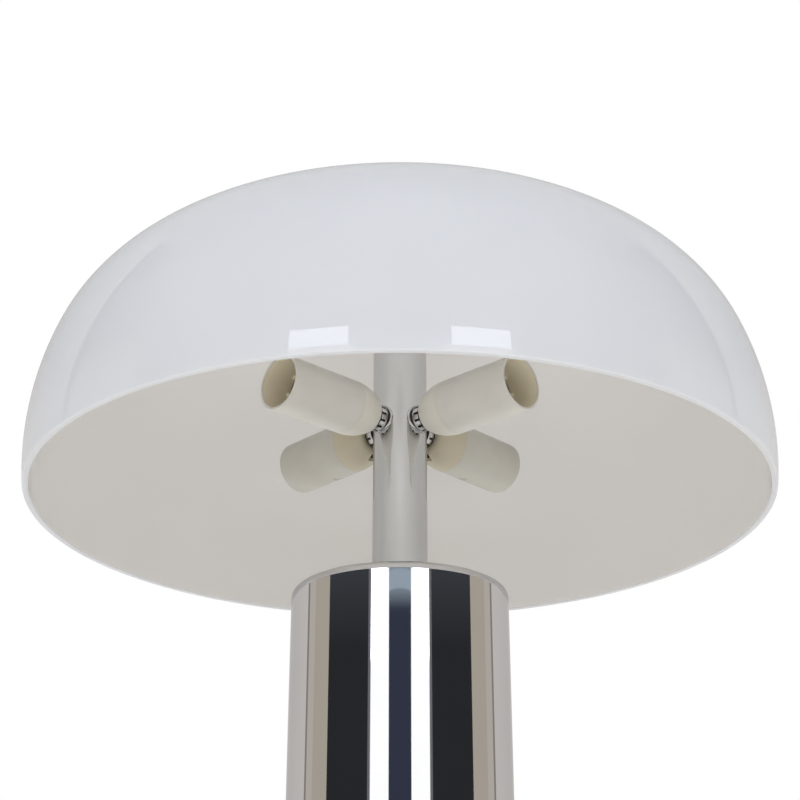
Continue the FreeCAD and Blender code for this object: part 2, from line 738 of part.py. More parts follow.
def lampholder_shell(index):
    """Outer half of the lampholder: thin skirt, tabs that hold the core, and a latch slot."""
    skirt = turned(f"shell_skirt_{index}", [
        ("shell_bore", "seam + seam_gap"),
        ("holder_radius", "seam + seam_gap"),
        ("holder_radius", "mouth - shell_lip_round"),
        ("holder_radius - shell_lip_round", "mouth", "left", "shell_lip_round"),
        ("shell_bore", "mouth"),
    ])
    tabs = [
        block(f"shell_{index}_tab_{turn + 1}", "shell_bore - tab_depth", "-tab_width / 2",
              "core_front + holder_gap", "tab_depth + shell_wall / 2", "tab_width", "tab_length",
              [(Z_AXIS, f"{turn} * 360 / tab_count + 180 / tab_count")])
        for turn in range(SIZES["tab_count"])
    ]
    whole = joined(f"shell_fuse_{index}", [skirt, *tabs])
    slot = block(f"shell_slot_{index}", "shell_bore - shell_wall", "-slot_length / 2",
                 "seam + slot_reach - slot_width / 2", "2 * shell_wall + tool_margin",
                 "slot_length", "slot_width")
    return cut(f"shell_cut_{index}", whole, [slot])


def lampholder_core(index):
    """Inner body with the thread sleeve, a well for the contact and the lead's socket behind."""
    return turned(f"core_body_{index}", [
        ("lead_hole", "core_back"),
        ("core_tail_radius", "core_back"),
        ("core_tail_radius", "core_step"),
        ("core_radius", "core_step"),
        ("core_radius", "core_front"),
        ("sleeve_radius + slip_gap", "core_front"),
        ("sleeve_radius + slip_gap", "sleeve_back"),
        ("contact_well", "sleeve_back"),
        ("contact_well", "contact_base"),
        ("0", "contact_base"),
        ("0", "core_back + lead_socket"),
        ("lead_hole", "core_back + lead_socket"),
    ])


def screw_shell(index):
    """Brass sleeve for the bulb's thread, with an open floor round the contact."""
    return turned(f"sleeve_{index}", [
        ("sleeve_floor_opening / 2", "sleeve_back"),
        ("sleeve_radius", "sleeve_back"),
        ("sleeve_radius", "sleeve_front"),
        ("sleeve_bore", "sleeve_front"),
        ("sleeve_bore", "sleeve_back + sleeve_floor"),
        ("sleeve_floor_opening / 2", "sleeve_back + sleeve_floor"),
    ])


def centre_contact(index):
    """Brass button on a post, in the well below the sleeve."""
    return turned(f"contact_{index}", [
        ("0", "contact_base"),
        ("contact_post_diameter / 2", "contact_base"),
        ("contact_post_diameter / 2", "contact_shoulder"),
        ("contact_radius", "contact_shoulder"),
        ("0", "contact_top", "left", "contact_dome_radius"),
    ])


def holder_nipple(index):
    """Hollow threaded pipe from the hub in the stem to the cap's boss."""
    return ring(f"nipple_pipe_{index}", "nipple_bore_diameter / 2", "nipple_radius",
                "hub_bore + slip_gap", "cap_boss_end")


def lead(index):
    """Insulated lead: up the stem beside the axis, round one bend and out along the arm."""
    rise = rod(f"lead_rise_{index}", "lead_radius", "lead_start",
               "holder_height - lead_bend_radius", "lead_spread")
    bend = new("Part::Torus", f"lead_bend_{index}", Radius1="lead_bend_radius",
               Radius2="lead_radius", Angle3="90")
    place(bend, "lead_spread + lead_bend_radius", "0", "holder_height - lead_bend_radius",
          [(YZ_DIAGONAL, "180")])
    run = new("Part::Cylinder", f"lead_run_{index}", Radius="lead_radius",
              Height="lead_end - lead_spread - lead_bend_radius")
    place(run, "lead_spread + lead_bend_radius", "0", "holder_height", [(Y_AXIS, "90")])
    return joined(f"lead_fuse_{index}", [rise, bend, run])


HOLDER_PIECES = (saddle_washer, collar, lampholder_core, screw_shell, centre_contact,
                 holder_nipple)
HOLDER_HALVES = (lampholder_cap, lampholder_shell)
for index, angle in enumerate(holder_angles, start=1):
    for piece in HOLDER_PIECES:
        keep(f"{piece.__name__}_{index}", on_arm(piece(index), angle))
    # the front lampholders have their notch and slot upwards, the rear ones downwards,
    # and each is a little turned, left and right as mirror images
    across, along = math.cos(math.radians(value(angle))), math.sin(math.radians(value(angle)))
    spin = "180" if along < 0 else "0"
    spin += " + holder_turn" if across * along > 0 else " - holder_turn"
    for half in HOLDER_HALVES:
        keep(f"{half.__name__}_{index}", on_arm(half(index), angle, spin))
    keep(f"lead_{index}", place(lead(index), turns=[(Z_AXIS, angle)]))

doc.recompute()

# Nothing is written unless every object is sound
for thing in doc.Objects:
    if "Invalid" in thing.State or "Error" in thing.State:
        raise RuntimeError(f"{thing.Label} is {thing.State}")
for label, thing in parts.items():
    if thing.Shape.isNull() or not thing.Shape.isValid() or not thing.Shape.Solids:
        raise RuntimeError(f"{label} has no sound solid")

os.makedirs("parts", exist_ok=True)
for label, thing in parts.items():
    thing.Shape.exportStep(f"parts/{label}.step")
box = Part.makeCompound([thing.Shape for thing in parts.values()]).optimalBoundingBox()
print(f"{len(parts)} pieces, {box.XLength:.1f} x {box.YLength:.1f} x {box.ZLength:.1f} mm")
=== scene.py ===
# %% [markdown]
# This lesson dresses a table lamp: an opal acrylic dome on a chromed stem, four small lampholders in
# a cross under the dome, and a wide chromed tube as the base.
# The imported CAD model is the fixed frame. It could be shown as it is, but its flat triangles would
# break every reflection in the chrome, so the visible pieces are worked out again as smooth surfaces.

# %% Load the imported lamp
import json
import bmesh
import bpy
import numpy as np
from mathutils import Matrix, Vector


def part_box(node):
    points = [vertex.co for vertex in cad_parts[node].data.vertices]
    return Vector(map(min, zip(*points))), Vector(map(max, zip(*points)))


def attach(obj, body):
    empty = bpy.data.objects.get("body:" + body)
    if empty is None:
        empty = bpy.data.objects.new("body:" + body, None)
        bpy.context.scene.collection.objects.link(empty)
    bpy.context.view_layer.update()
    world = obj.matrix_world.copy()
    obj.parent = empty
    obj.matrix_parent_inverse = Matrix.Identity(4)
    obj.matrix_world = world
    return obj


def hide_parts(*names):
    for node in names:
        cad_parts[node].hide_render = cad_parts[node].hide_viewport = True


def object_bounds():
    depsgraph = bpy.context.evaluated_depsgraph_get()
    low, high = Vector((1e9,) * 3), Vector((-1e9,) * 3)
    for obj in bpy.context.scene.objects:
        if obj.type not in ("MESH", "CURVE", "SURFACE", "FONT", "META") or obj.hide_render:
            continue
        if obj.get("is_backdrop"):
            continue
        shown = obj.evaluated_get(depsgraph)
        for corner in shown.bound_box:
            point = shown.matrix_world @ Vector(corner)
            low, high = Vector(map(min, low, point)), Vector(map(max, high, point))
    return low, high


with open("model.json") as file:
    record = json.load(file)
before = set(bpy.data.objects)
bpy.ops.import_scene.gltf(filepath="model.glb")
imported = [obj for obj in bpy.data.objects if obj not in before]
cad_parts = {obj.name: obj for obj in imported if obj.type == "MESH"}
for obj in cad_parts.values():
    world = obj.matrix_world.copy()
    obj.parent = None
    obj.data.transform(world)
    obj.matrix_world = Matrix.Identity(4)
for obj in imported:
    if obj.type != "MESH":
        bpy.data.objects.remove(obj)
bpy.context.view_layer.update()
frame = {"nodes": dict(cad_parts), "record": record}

# %% [markdown]
# Every piece is a grid of points, or several grids that share their edges. A mesh could be built
# corner by corner, but whole arrays are quicker and easier to check.
# A mark on each quad says which of the piece's finishes it takes, so that the inside of a piece can
# look different from its outside.

# %% From grids of points to quads
def patch(grid, kept=True, mark=0):
    """A grid, which of its quads are kept, and the number of the finish on each quad."""
    quads = (grid.shape[0] - 1, grid.shape[1] - 1)
    return grid, np.broadcast_to(kept, quads), np.broadcast_to(mark, quads)


def corners_and_quads(patches):
    """Quad (i, j) of a grid joins point (i, j) with its neighbours along i, along both and along j."""
    corners, quads, marks, first = [], [], [], 0
    for grid, kept, mark in patches:
        rows, columns = grid.shape[:2]
        index = first + np.arange(rows * columns).reshape(rows, columns)
        ring = np.stack([index[:-1, :-1], index[1:, :-1], index[1:, 1:], index[:-1, 1:]], axis=-1)
        quads.append(ring[kept])
        marks.append(mark[kept])
        corners.append(grid.reshape(-1, 3))
        first += rows * columns
    return np.concatenate(corners), np.concatenate(quads), np.concatenate(marks)


print("a grid of 3 by 4 points has", len(corners_and_quads([patch(np.zeros((3, 4, 3)))])[1]), "quads")

# %% [markdown]
# The quads become a mesh. Points that coincide are merged, which closes seams and poles, and the faces
# are turned outwards. Modifiers could merge and smooth as well, but a finished mesh can be measured:
# a closed piece has no open edge, and a volume that is too large or too small shows a wrong wall.
# Each piece is then hung on the body that it rides on, and the CAD nodes that it stands for are hidden.

# %% From quads to a piece
MILLIMETRE, CUBIC_CENTIMETRE = 0.001, 1e-6
MERGE_DISTANCE = 1e-6
SHARP_DEGREES = 38


def smooth_mesh(name, patches):
    """One closed mesh from patches with points in millimetres, sharp only where its faces bend most."""
    corners, quads, marks = corners_and_quads(patches)
    mesh = bpy.data.meshes.new(name)
    mesh.from_pydata((corners * MILLIMETRE).tolist(), [], quads.tolist())
    mesh.polygons.foreach_set("material_index", marks.astype(np.int32))
    shell = bmesh.new()
    shell.from_mesh(mesh)
    bmesh.ops.remove_doubles(shell, verts=shell.verts, dist=MERGE_DISTANCE)
    bmesh.ops.recalc_face_normals(shell, faces=shell.faces)
    volume = shell.calc_volume(signed=True)
    shell.to_mesh(mesh)
    shell.free()
    mesh.polygons.foreach_set("use_smooth", np.ones(len(mesh.polygons), dtype=bool))
    mesh.set_sharp_from_angle(angle=np.radians(SHARP_DEGREES))
    edge_of_loop = np.empty(len(mesh.loops), dtype=np.int32)
    mesh.loops.foreach_get("edge_index", edge_of_loop)
    uses = np.bincount(edge_of_loop, minlength=len(mesh.edges))
    print(f"{name}: {len(mesh.polygons)} faces, {np.count_nonzero(uses != 2)} open edges, "
          f"{volume / CUBIC_CENTIMETRE:.2f} cm3")
    return mesh


def make_piece(name, patches, finishes, body, stands_for):
    """A piece at the origin that rides on a body and stands for CAD nodes."""
    mesh = smooth_mesh(name, patches)
    for finish in finishes:
        mesh.materials.append(finish)
    piece = bpy.data.objects.new(name, mesh)
    bpy.context.scene.collection.objects.link(piece)
    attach(piece, body)
    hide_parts(*stands_for)


print("pieces are shaded smooth, except where faces bend by more than", SHARP_DEGREES, "degrees")

# %% [markdown]
# Nearly everything on this lamp was turned on a lathe or moulded round, so its shape is an outline of
# radius and height carried round an axis. Sharp outlines would look cut from paper, so each corner gets
# a small round, which catches the light as a real edge does. A Bevel modifier could round the finished
# piece, but in the outline each corner can have a size of its own.
# A row of points close to each round holds the long walls flat, so that smooth shading doesn't bend
# the reflections along the whole tube.

# %% Rounded outlines
HOLD, HOLD_SHARE = 0.5, 0.2
SHARP_ROUND, SMALL_ROUND = 0.1, 0.2


def rounded(corners, steps=6):
    """Closed outline through (radius, height, round) corners.

    Each corner becomes an arc that touches both sides: its centre lies on the bisector at
    round / sin(half angle), and it starts round / tan(half angle) away from the corner. A holding
    point lies before and after each arc.
    """
    table = np.array(corners, dtype=float)
    point, size = table[:, :2], table[:, 2:]
    before, after = np.roll(point, 1, axis=0) - point, np.roll(point, -1, axis=0) - point
    length_before = np.linalg.norm(before, axis=1, keepdims=True)
    length_after = np.linalg.norm(after, axis=1, keepdims=True)
    before, after = before / length_before, after / length_after
    half = np.arccos(np.clip((before * after).sum(axis=1, keepdims=True), -1, 1)) / 2
    bisector = before + after
    bisector /= np.linalg.norm(bisector, axis=1, keepdims=True)
    centre = point + bisector * size / np.sin(half)
    reach = size / np.tan(half)
    start, end = point + before * reach - centre, point + after * reach - centre
    first = np.arctan2(start[:, 1:], start[:, :1])
    sweep = np.arctan2(end[:, 1:], end[:, :1]) - first
    sweep = (sweep + np.pi) % (2 * np.pi) - np.pi
    angle = first + sweep * np.linspace(0, 1, steps)
    arcs = centre[:, None] + size[:, None] * np.stack([np.cos(angle), np.sin(angle)], axis=-1)
    hold_in = point + before * (reach + np.minimum(HOLD, HOLD_SHARE * length_before))
    hold_out = point + after * (reach + np.minimum(HOLD, HOLD_SHARE * length_after))
    return np.concatenate([hold_in[:, None], arcs, hold_out[:, None]], axis=1).reshape(-1, 2)


def closed(outline):
    """The outline with its first point again at the end."""
    return np.concatenate([outline, outline[:1]])


print("points of a rounded triangle:", len(rounded([(1, 0, 0.1), (2, 0, 0.1), (2, 5, 0.1)])))

# %% [markdown]
# An outline is carried round its axis in small steps. Blender's Screw modifier could do that, but as
# arrays the points stay at hand, so that flutes and slits can still change them.
# Sizes that the CAD model has fixed already are read from the boxes of its nodes.

# %% Arcs and the lathe
def arc(centre, radius, start, end, steps):
    """Points at radius from centre, from one angle to another in degrees."""
    angle = np.radians(np.linspace(start, end, steps))
    return np.stack([centre[0] + radius * np.cos(angle), centre[1] + radius * np.sin(angle)], axis=1)


def lathe(outline, turns):
    """Point (i, j) is outline point j at angle i: (r cos t, r sin t, h)."""
    angle = np.linspace(0, 2 * np.pi, turns + 1)
    radius, height = outline[:, 0], outline[:, 1]
    return np.stack([np.outer(np.cos(angle), radius), np.outer(np.sin(angle), radius),
                     np.tile(height, (turns + 1, 1))], axis=-1)


def box_mm(node):
    """A CAD node's lowest and highest corners in millimetres."""
    return [np.array(corner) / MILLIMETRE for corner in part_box(node)]


example = lathe(np.array([(1.0, 0.0)]), 8)
print("a lathe of 8 steps lays an outline", len(example), "times, the last on the first")

# %% [markdown]
# No real surface is one even colour. Three effects turn up in several finishes: a soft mottle of polish
# and handling, a fine moulded or cast grain, and dust on whatever faces up.
# Each could be drawn anew in every material. As node groups they are made once, and each material
# gives its own size and strength.
# The mottle comes first. It is soft noise, whose middle range is stretched from the low to the high
# value.

# %% Soft mottle
def new_group(name, inputs, output):
    """An empty node group with named number inputs, a vector and one output."""
    tree = bpy.data.node_groups.new(name, "ShaderNodeTree")
    tree.interface.new_socket("Vector", in_out="INPUT", socket_type="NodeSocketVector")
    for label, default in inputs.items():
        socket = tree.interface.new_socket(label, in_out="INPUT", socket_type="NodeSocketFloat")
        socket.default_value = default
    tree.interface.new_socket(output, in_out="OUTPUT", socket_type="NodeSocketFloat")
    return tree, tree.nodes.new("NodeGroupInput"), tree.nodes.new("NodeGroupOutput")


def soft_mottle_group():
    """Noise of a given size, stretched between a low and a high value."""
    tree, taken, given = new_group("soft_mottle", {"Size": 20.0, "Low": 0.0, "High": 1.0}, "Value")
    noise = tree.nodes.new("ShaderNodeTexNoise")
    noise.inputs["Detail"].default_value = 4.0
    spread = tree.nodes.new("ShaderNodeMapRange")
    spread.inputs["From Min"].default_value = 0.32
    spread.inputs["From Max"].default_value = 0.68
    tree.links.new(taken.outputs["Vector"], noise.inputs["Vector"])
    tree.links.new(taken.outputs["Size"], noise.inputs["Scale"])
    tree.links.new(noise.outputs["Fac"], spread.inputs["Value"])
    tree.links.new(taken.outputs["Low"], spread.inputs["To Min"])
    tree.links.new(taken.outputs["High"], spread.inputs["To Max"])
    tree.links.new(spread.outputs["Result"], given.inputs["Value"])
    return tree


SOFT_MOTTLE = soft_mottle_group()
print("shared effect:", SOFT_MOTTLE.name)

# %% [markdown]
# Moulded plastic takes a fine grain from its mould, and cast iron and felt are rougher still. A picture
# could give the grain, but it has to be wrapped round each piece, and noise goes through all of them
# without a seam. Cells added to the noise make pits.

# %% Fine grain
PLAIN_PITS = 0.3


def fine_grain_group():
    """Small pits and bumps: fine noise plus a share of cells."""
    tree, taken, given = new_group("fine_grain", {"Size": 800.0, "Pits": PLAIN_PITS}, "Height")
    noise = tree.nodes.new("ShaderNodeTexNoise")
    noise.inputs["Detail"].default_value = 3.0
    cells = tree.nodes.new("ShaderNodeTexVoronoi")
    mixed = tree.nodes.new("ShaderNodeMath")
    mixed.operation = "MULTIPLY_ADD"
    for texture in (noise, cells):
        tree.links.new(taken.outputs["Vector"], texture.inputs["Vector"])
        tree.links.new(taken.outputs["Size"], texture.inputs["Scale"])
    tree.links.new(cells.outputs["Distance"], mixed.inputs[0])
    tree.links.new(taken.outputs["Pits"], mixed.inputs[1])
    tree.links.new(noise.outputs["Fac"], mixed.inputs[2])
    tree.links.new(mixed.outputs["Value"], given.inputs["Height"])
    return tree


FINE_GRAIN = fine_grain_group()
print("shared effect:", FINE_GRAIN.name)

# %% [markdown]
# Dust settles on whatever faces up. It could be strewn as specks, but a thin veil of it shows only as a
# change of colour, so a mask is enough: how far the surface faces up, times a patchy noise.

# %% Settled dust
def settled_dust_group():
    """Dust where the surface faces up, broken up by noise."""
    tree, taken, given = new_group("settled_dust", {"Amount": 0.2, "Size": 90.0}, "Mask")
    facing = tree.nodes.new("ShaderNodeNewGeometry")
    split = tree.nodes.new("ShaderNodeSeparateXYZ")
    slope = tree.nodes.new("ShaderNodeMapRange")
    slope.inputs["From Min"].default_value = 0.55
    noise = tree.nodes.new("ShaderNodeTexNoise")
    noise.inputs["Detail"].default_value = 6.0
    patches = tree.nodes.new("ShaderNodeMapRange")
    patches.inputs["From Min"].default_value = 0.35
    patches.inputs["From Max"].default_value = 0.75
    both = tree.nodes.new("ShaderNodeMath")
    both.operation = "MULTIPLY"
    amount = tree.nodes.new("ShaderNodeMath")
    amount.operation = "MULTIPLY"
    tree.links.new(facing.outputs["Normal"], split.inputs["Vector"])
    tree.links.new(split.outputs["Z"], slope.inputs["Value"])
    tree.links.new(taken.outputs["Vector"], noise.inputs["Vector"])
    tree.links.new(taken.outputs["Size"], noise.inputs["Scale"])
    tree.links.new(noise.outputs["Fac"], patches.inputs["Value"])
    tree.links.new(slope.outputs["Result"], both.inputs[0])
    tree.links.new(patches.outputs["Result"], both.inputs[1])
    tree.links.new(both.outputs["Value"], amount.inputs[0])
    tree.links.new(taken.outputs["Amount"], amount.inputs[1])
    tree.links.new(amount.outputs["Value"], given.inputs["Mask"])
    return tree


SETTLED_DUST = settled_dust_group()
print("shared effect:", SETTLED_DUST.name)

# %% [markdown]
# A finish is a Principled shader whose even values sit on its own sockets. What changes over the
# surface comes from the shared effects: two near colours mixed by a mottle, a roughness that wanders,
# a little bump and some dust.
# Opal acrylic is cloudy right through: light wanders some millimetres inside the sheet before it comes
# out again, so the dome's finishes also have subsurface scattering.
# Each material could be wired by hand. One function lays all of them out alike, so the table of finishes
# stays short.

# %% What a finish is made of
DUST_COLOUR = (0.62, 0.60, 0.56)
POLISH_PER_MOTTLE = 2.3
# A Mix node's colour sockets share their names with its other sockets, so they are found by number
MIX_FIRST, MIX_SECOND, MIX_RESULT = 6, 7, 2


def finish_of(name, colours, roughness, mottle=20.0, grain=None, dust=0.0, **even):
    """Mix two colours and a pair of roughness values by mottle, add grain as bump, then dust."""
    material = bpy.data.materials.new(name)
    material.use_nodes = True
    nodes, links = material.node_tree.nodes, material.node_tree.links
    shader = nodes["Principled BSDF"]
    for socket, value in even.items():
        shader.inputs[socket.replace("_", " ")].default_value = value
    coordinates = nodes.new("ShaderNodeTexCoord")

    def effect(tree, **values):
        node = nodes.new("ShaderNodeGroup")
        node.node_tree = tree
        links.new(coordinates.outputs["Object"], node.inputs["Vector"])
        for label, value in values.items():
            node.inputs[label].default_value = value
        return node.outputs[0]

    def mixed(factor, first, second):
        node = nodes.new("ShaderNodeMix")
        node.data_type = "RGBA"
        links.new(factor, node.inputs["Factor"])
        for socket, colour in ((node.inputs[MIX_FIRST], first), (node.inputs[MIX_SECOND], second)):
            if isinstance(colour, tuple):
                socket.default_value = (*colour, 1.0)
            else:
                links.new(colour, socket)
        return node.outputs[MIX_RESULT]

    colour = mixed(effect(SOFT_MOTTLE, Size=mottle), *colours)
    if dust:
        colour = mixed(effect(SETTLED_DUST, Amount=dust), colour, DUST_COLOUR)
    links.new(colour, shader.inputs["Base Color"])
    polish = effect(SOFT_MOTTLE, Size=POLISH_PER_MOTTLE * mottle, Low=roughness[0], High=roughness[1])
    links.new(polish, shader.inputs["Roughness"])
    if grain:
        bump = nodes.new("ShaderNodeBump")
        bump.inputs["Strength"].default_value = grain["strength"]
        bump.inputs["Distance"].default_value = grain["depth"] * MILLIMETRE
        links.new(effect(FINE_GRAIN, Size=grain["size"], Pits=grain.get("pits", PLAIN_PITS)),
                  bump.inputs["Height"])
        links.new(bump.outputs["Normal"], shader.inputs["Normal"])
    return material


print("a finish mixes two colours and a pair of roughness values, with dust of", DUST_COLOUR)

# %% [markdown]
# Each material slot of the CAD record gets one finish. The slots could share a few plain materials, but
# chrome, cloudy acrylic, moulded plastic, brass, zinc, cast iron and felt all take the light differently.
# Values that several finishes share are named first: what clouds the acrylic, what makes plating bright
# and the grain of a moulded plastic.

# %% Finishes of the material slots
OPAL_IOR = 1.49
OPAL_GLOW = {"Subsurface_Weight": 1.0, "Subsurface_Scale": 0.003, "Subsurface_Radius": (1.0, 1.0, 1.0)}
PLATED = {"dust": 0.05, "Metallic": 1.0, "Specular_Tint": (0.80, 0.80, 0.81, 1.0)}
MOULDED = {"grain": {"size": 1400.0, "strength": 0.25, "depth": 0.03}, "IOR": 1.5}
HANDLED_DUST = 0.10
FINISHES = {
    "chrome": finish_of(
        "polished_chrome", ((0.67, 0.67, 0.675), (0.64, 0.642, 0.65)), (0.02, 0.045), 14.0,
        **PLATED),
    "opal_acrylic": finish_of(
        "opal_acrylic", ((0.715, 0.732, 0.77), (0.695, 0.712, 0.75)), (0.012, 0.03), 9.0,
        dust=HANDLED_DUST, IOR=OPAL_IOR, **OPAL_GLOW),
    "cream_plastic": finish_of(
        "cream_shell_plastic", ((0.58, 0.568, 0.52), (0.54, 0.525, 0.47)), (0.36, 0.48), 55.0,
        dust=HANDLED_DUST, **MOULDED),
    "core_plastic": finish_of(
        "olive_core_plastic", ((0.21, 0.175, 0.11), (0.17, 0.14, 0.085)), (0.5, 0.65), 70.0,
        {"size": 1100.0, "strength": 0.35, "depth": 0.04}, IOR=1.5),
    "brass": finish_of(
        "tarnished_brass", ((0.72, 0.53, 0.25), (0.50, 0.36, 0.17)), (0.24, 0.42), 160.0,
        {"size": 2500.0, "strength": 0.15, "depth": 0.01}, Metallic=1.0),
    "zinc_steel": finish_of(
        "zinc_plate", ((0.60, 0.61, 0.63), (0.48, 0.49, 0.50)), (0.30, 0.48), 240.0,
        {"size": 1800.0, "strength": 0.2, "depth": 0.02}, Metallic=1.0),
    "cast_iron": finish_of(
        "rough_cast_iron", ((0.11, 0.11, 0.115), (0.07, 0.07, 0.07)), (0.62, 0.85), 120.0,
        {"size": 500.0, "strength": 0.8, "depth": 0.25, "pits": 0.7}, Metallic=0.6),
    "felt": finish_of(
        "pressed_felt", ((0.060, 0.060, 0.066), (0.028, 0.028, 0.032)), (0.9, 1.0), 420.0,
        {"size": 1300.0, "strength": 1.0, "depth": 0.35, "pits": 0.2}, Sheen_Weight=0.35),
    "rubber": finish_of(
        "matt_rubber", ((0.045, 0.045, 0.045), (0.03, 0.03, 0.03)), (0.7, 0.85), 140.0,
        {"size": 1500.0, "strength": 0.4, "depth": 0.03}),
    "lead_sleeve": finish_of(
        "silicone_sleeve", ((0.74, 0.71, 0.63), (0.68, 0.64, 0.55)), (0.45, 0.6), 90.0,
        {"size": 1600.0, "strength": 0.2, "depth": 0.02}),
    "block_plastic": finish_of(
        "connector_plastic", ((0.70, 0.68, 0.62), (0.64, 0.62, 0.55)), (0.42, 0.55), 110.0,
        {"size": 1500.0, "strength": 0.3, "depth": 0.03}),
    "gland_plastic": finish_of(
        "black_bush_plastic", ((0.032, 0.032, 0.035), (0.022, 0.022, 0.024)), (0.4, 0.55), 130.0,
        {"size": 1700.0, "strength": 0.35, "depth": 0.03}),
}
for entry in frame["record"]["subparts"]:
    cad_mesh = frame["nodes"][entry["node"]].data
    cad_mesh.materials.clear()
    cad_mesh.materials.append(FINISHES[entry["material_slot"]])
print(len(FINISHES), "finishes made, and", len(frame["nodes"]), "CAD nodes dressed")

# %% [markdown]
# The base is a drawn steel tube, 108 mm across, with a top spun shut over a small radius and then
# chromed. The CAD tube has the same shape, but in flat facets that would cut its reflections into
# strips. One outline, wall and all, carried round in fine steps gives the unbroken mirror of the real
# one.

# %% Base tube
low, high = box_mm("base_tube")
TUBE_RADIUS, TUBE_FOOT, TUBE_TOP = high[0], low[2], high[2]
TUBE_WALL, TUBE_LID, TUBE_EDGE, STEM_PASSAGE = 2.0, 3.0, 3.9, 9.25
FOOT_ROUND, INNER_LID_ROUND, TUBE_TURNS = 0.4, 1.0, 256
tube_outline = rounded([
    (TUBE_RADIUS - TUBE_WALL, TUBE_FOOT, SMALL_ROUND),
    (TUBE_RADIUS, TUBE_FOOT, FOOT_ROUND),
    (TUBE_RADIUS, TUBE_TOP, TUBE_EDGE),
    (STEM_PASSAGE, TUBE_TOP, SHARP_ROUND),
    (STEM_PASSAGE, TUBE_TOP - TUBE_LID, SHARP_ROUND),
    (TUBE_RADIUS - TUBE_WALL, TUBE_TOP - TUBE_LID, INNER_LID_ROUND),
], steps=16)
make_piece("polished_tube", [patch(lathe(closed(tube_outline), TUBE_TURNS))], [FINISHES["chrome"]], "base",
           ["base_tube"])

# %% [markdown]
# The stem is a plain chromed pipe. Its four side holes lie under the saddle washers, so the visible
# pipe is made without them. A cylinder from Blender's menu would do for the outside, but the outline
# also gives the pipe its wall and its broken edges. Its chrome is made a little brighter and cooler
# than the tube's: painted light, for the brighter reflections in the stem under the dome.

# %% Stem
low, high = box_mm("stem")
STEM_RADIUS, STEM_FOOT, STEM_TOP = high[0], low[2], high[2]
STEM_WALL, STEM_TURNS = 1.5, 192
# Painted light: a brighter, cooler copy of the chrome, for the stem's brighter reflections
STEM_CHROME_PAINTED_LIGHT = finish_of(
    "stem_chrome_painted_light", ((0.70, 0.712, 0.718), (0.67, 0.684, 0.692)), (0.02, 0.045), 14.0, **PLATED)
stem_outline = rounded([
    (STEM_RADIUS - STEM_WALL, STEM_FOOT, SHARP_ROUND),
    (STEM_RADIUS, STEM_FOOT, SMALL_ROUND),
    (STEM_RADIUS, STEM_TOP, SMALL_ROUND),
    (STEM_RADIUS - STEM_WALL, STEM_TOP, SHARP_ROUND),
])
make_piece("polished_stem", [patch(lathe(closed(stem_outline), STEM_TURNS))], [STEM_CHROME_PAINTED_LIGHT], "base",
           ["stem"])

# %% [markdown]
# The shade was blown from a heated acrylic sheet, which gives it a steep side, a tighter shoulder and a
# shallow crown that run into each other without a crease. A spline could follow that, but three arcs
# that share their tangents need only a radius and an angle each: where two of them meet, both centres
# and the meeting point lie in one line.

# %% Curve of the dome
low, high = box_mm("shade")
DOME_RADIUS, RIM_HEIGHT = 190.0, low[2]
RIM_DROP, RIM_EASE, STUD_HOLE = 20.0, 0.7, 5.5
SIDE_RADIUS, SIDE_ANGLE = 152.4, 20.9
SHOULDER_RADIUS, SHOULDER_ANGLE = 85.0, 62.5
SIDE_STEPS, SHOULDER_STEPS, CROWN_STEPS = 34, 36, 34
side_centre = np.array([DOME_RADIUS - SIDE_RADIUS, RIM_HEIGHT + RIM_DROP])
towards_shoulder = np.array([np.cos(np.radians(SIDE_ANGLE)), np.sin(np.radians(SIDE_ANGLE))])
shoulder_centre = side_centre + (SIDE_RADIUS - SHOULDER_RADIUS) * towards_shoulder
crown_reach = shoulder_centre[0] / np.cos(np.radians(SHOULDER_ANGLE))
crown_centre = np.array(
    [0.0, shoulder_centre[1] - shoulder_centre[0] * np.tan(np.radians(SHOULDER_ANGLE))])
CROWN_RADIUS = crown_reach + SHOULDER_RADIUS


def dome_curve(depth):
    """Rim to stud hole, a depth inside the surface: side arc, shoulder arc and crown arc."""
    side = SIDE_RADIUS - depth
    rim_angle = np.degrees(-np.arcsin(RIM_DROP / side) + RIM_EASE / side)
    crown = CROWN_RADIUS - depth
    hole_angle = np.degrees(np.arccos(STUD_HOLE / crown))
    return np.concatenate([
        arc(side_centre, side, rim_angle, SIDE_ANGLE, SIDE_STEPS)[:-1],
        arc(shoulder_centre, SHOULDER_RADIUS - depth, SIDE_ANGLE, SHOULDER_ANGLE, SHOULDER_STEPS)[:-1],
        arc(crown_centre, crown, SHOULDER_ANGLE, hole_angle, CROWN_STEPS),
    ])


print("radii of side, shoulder and crown, mm:", SIDE_RADIUS, SHOULDER_RADIUS, round(CROWN_RADIUS, 1))

# %% [markdown]
# The inside of the dome is the same curve 3 mm further in. A Solidify modifier could give the wall, but
# the rim was cut and polished, so its flat edge and its two eased corners are drawn as well.
# The inside gets a finish of its own, lighter and warmer than the outside: painted light, for the glow
# inside the dome.

# %% Dome
DOME_WALL, DOME_TURNS = 3.0, 256
# Painted light: the inside is made lighter and warmer than the outside, for the glow inside the dome
DOME_INSIDE_PAINTED_LIGHT = finish_of(
    "opal_inside_painted_light", ((0.874, 0.864, 0.856), (0.854, 0.844, 0.836)), (0.06, 0.12), 9.0, IOR=OPAL_IOR,
    **OPAL_GLOW)


def eased(start, corner, end, steps=6):
    """A soft corner: (1 - t)^2 start + 2 t (1 - t) corner + t^2 end."""
    t = np.linspace(0, 1, steps)[1:-1, None]
    return (1 - t) ** 2 * start + 2 * t * (1 - t) * corner + t**2 * end


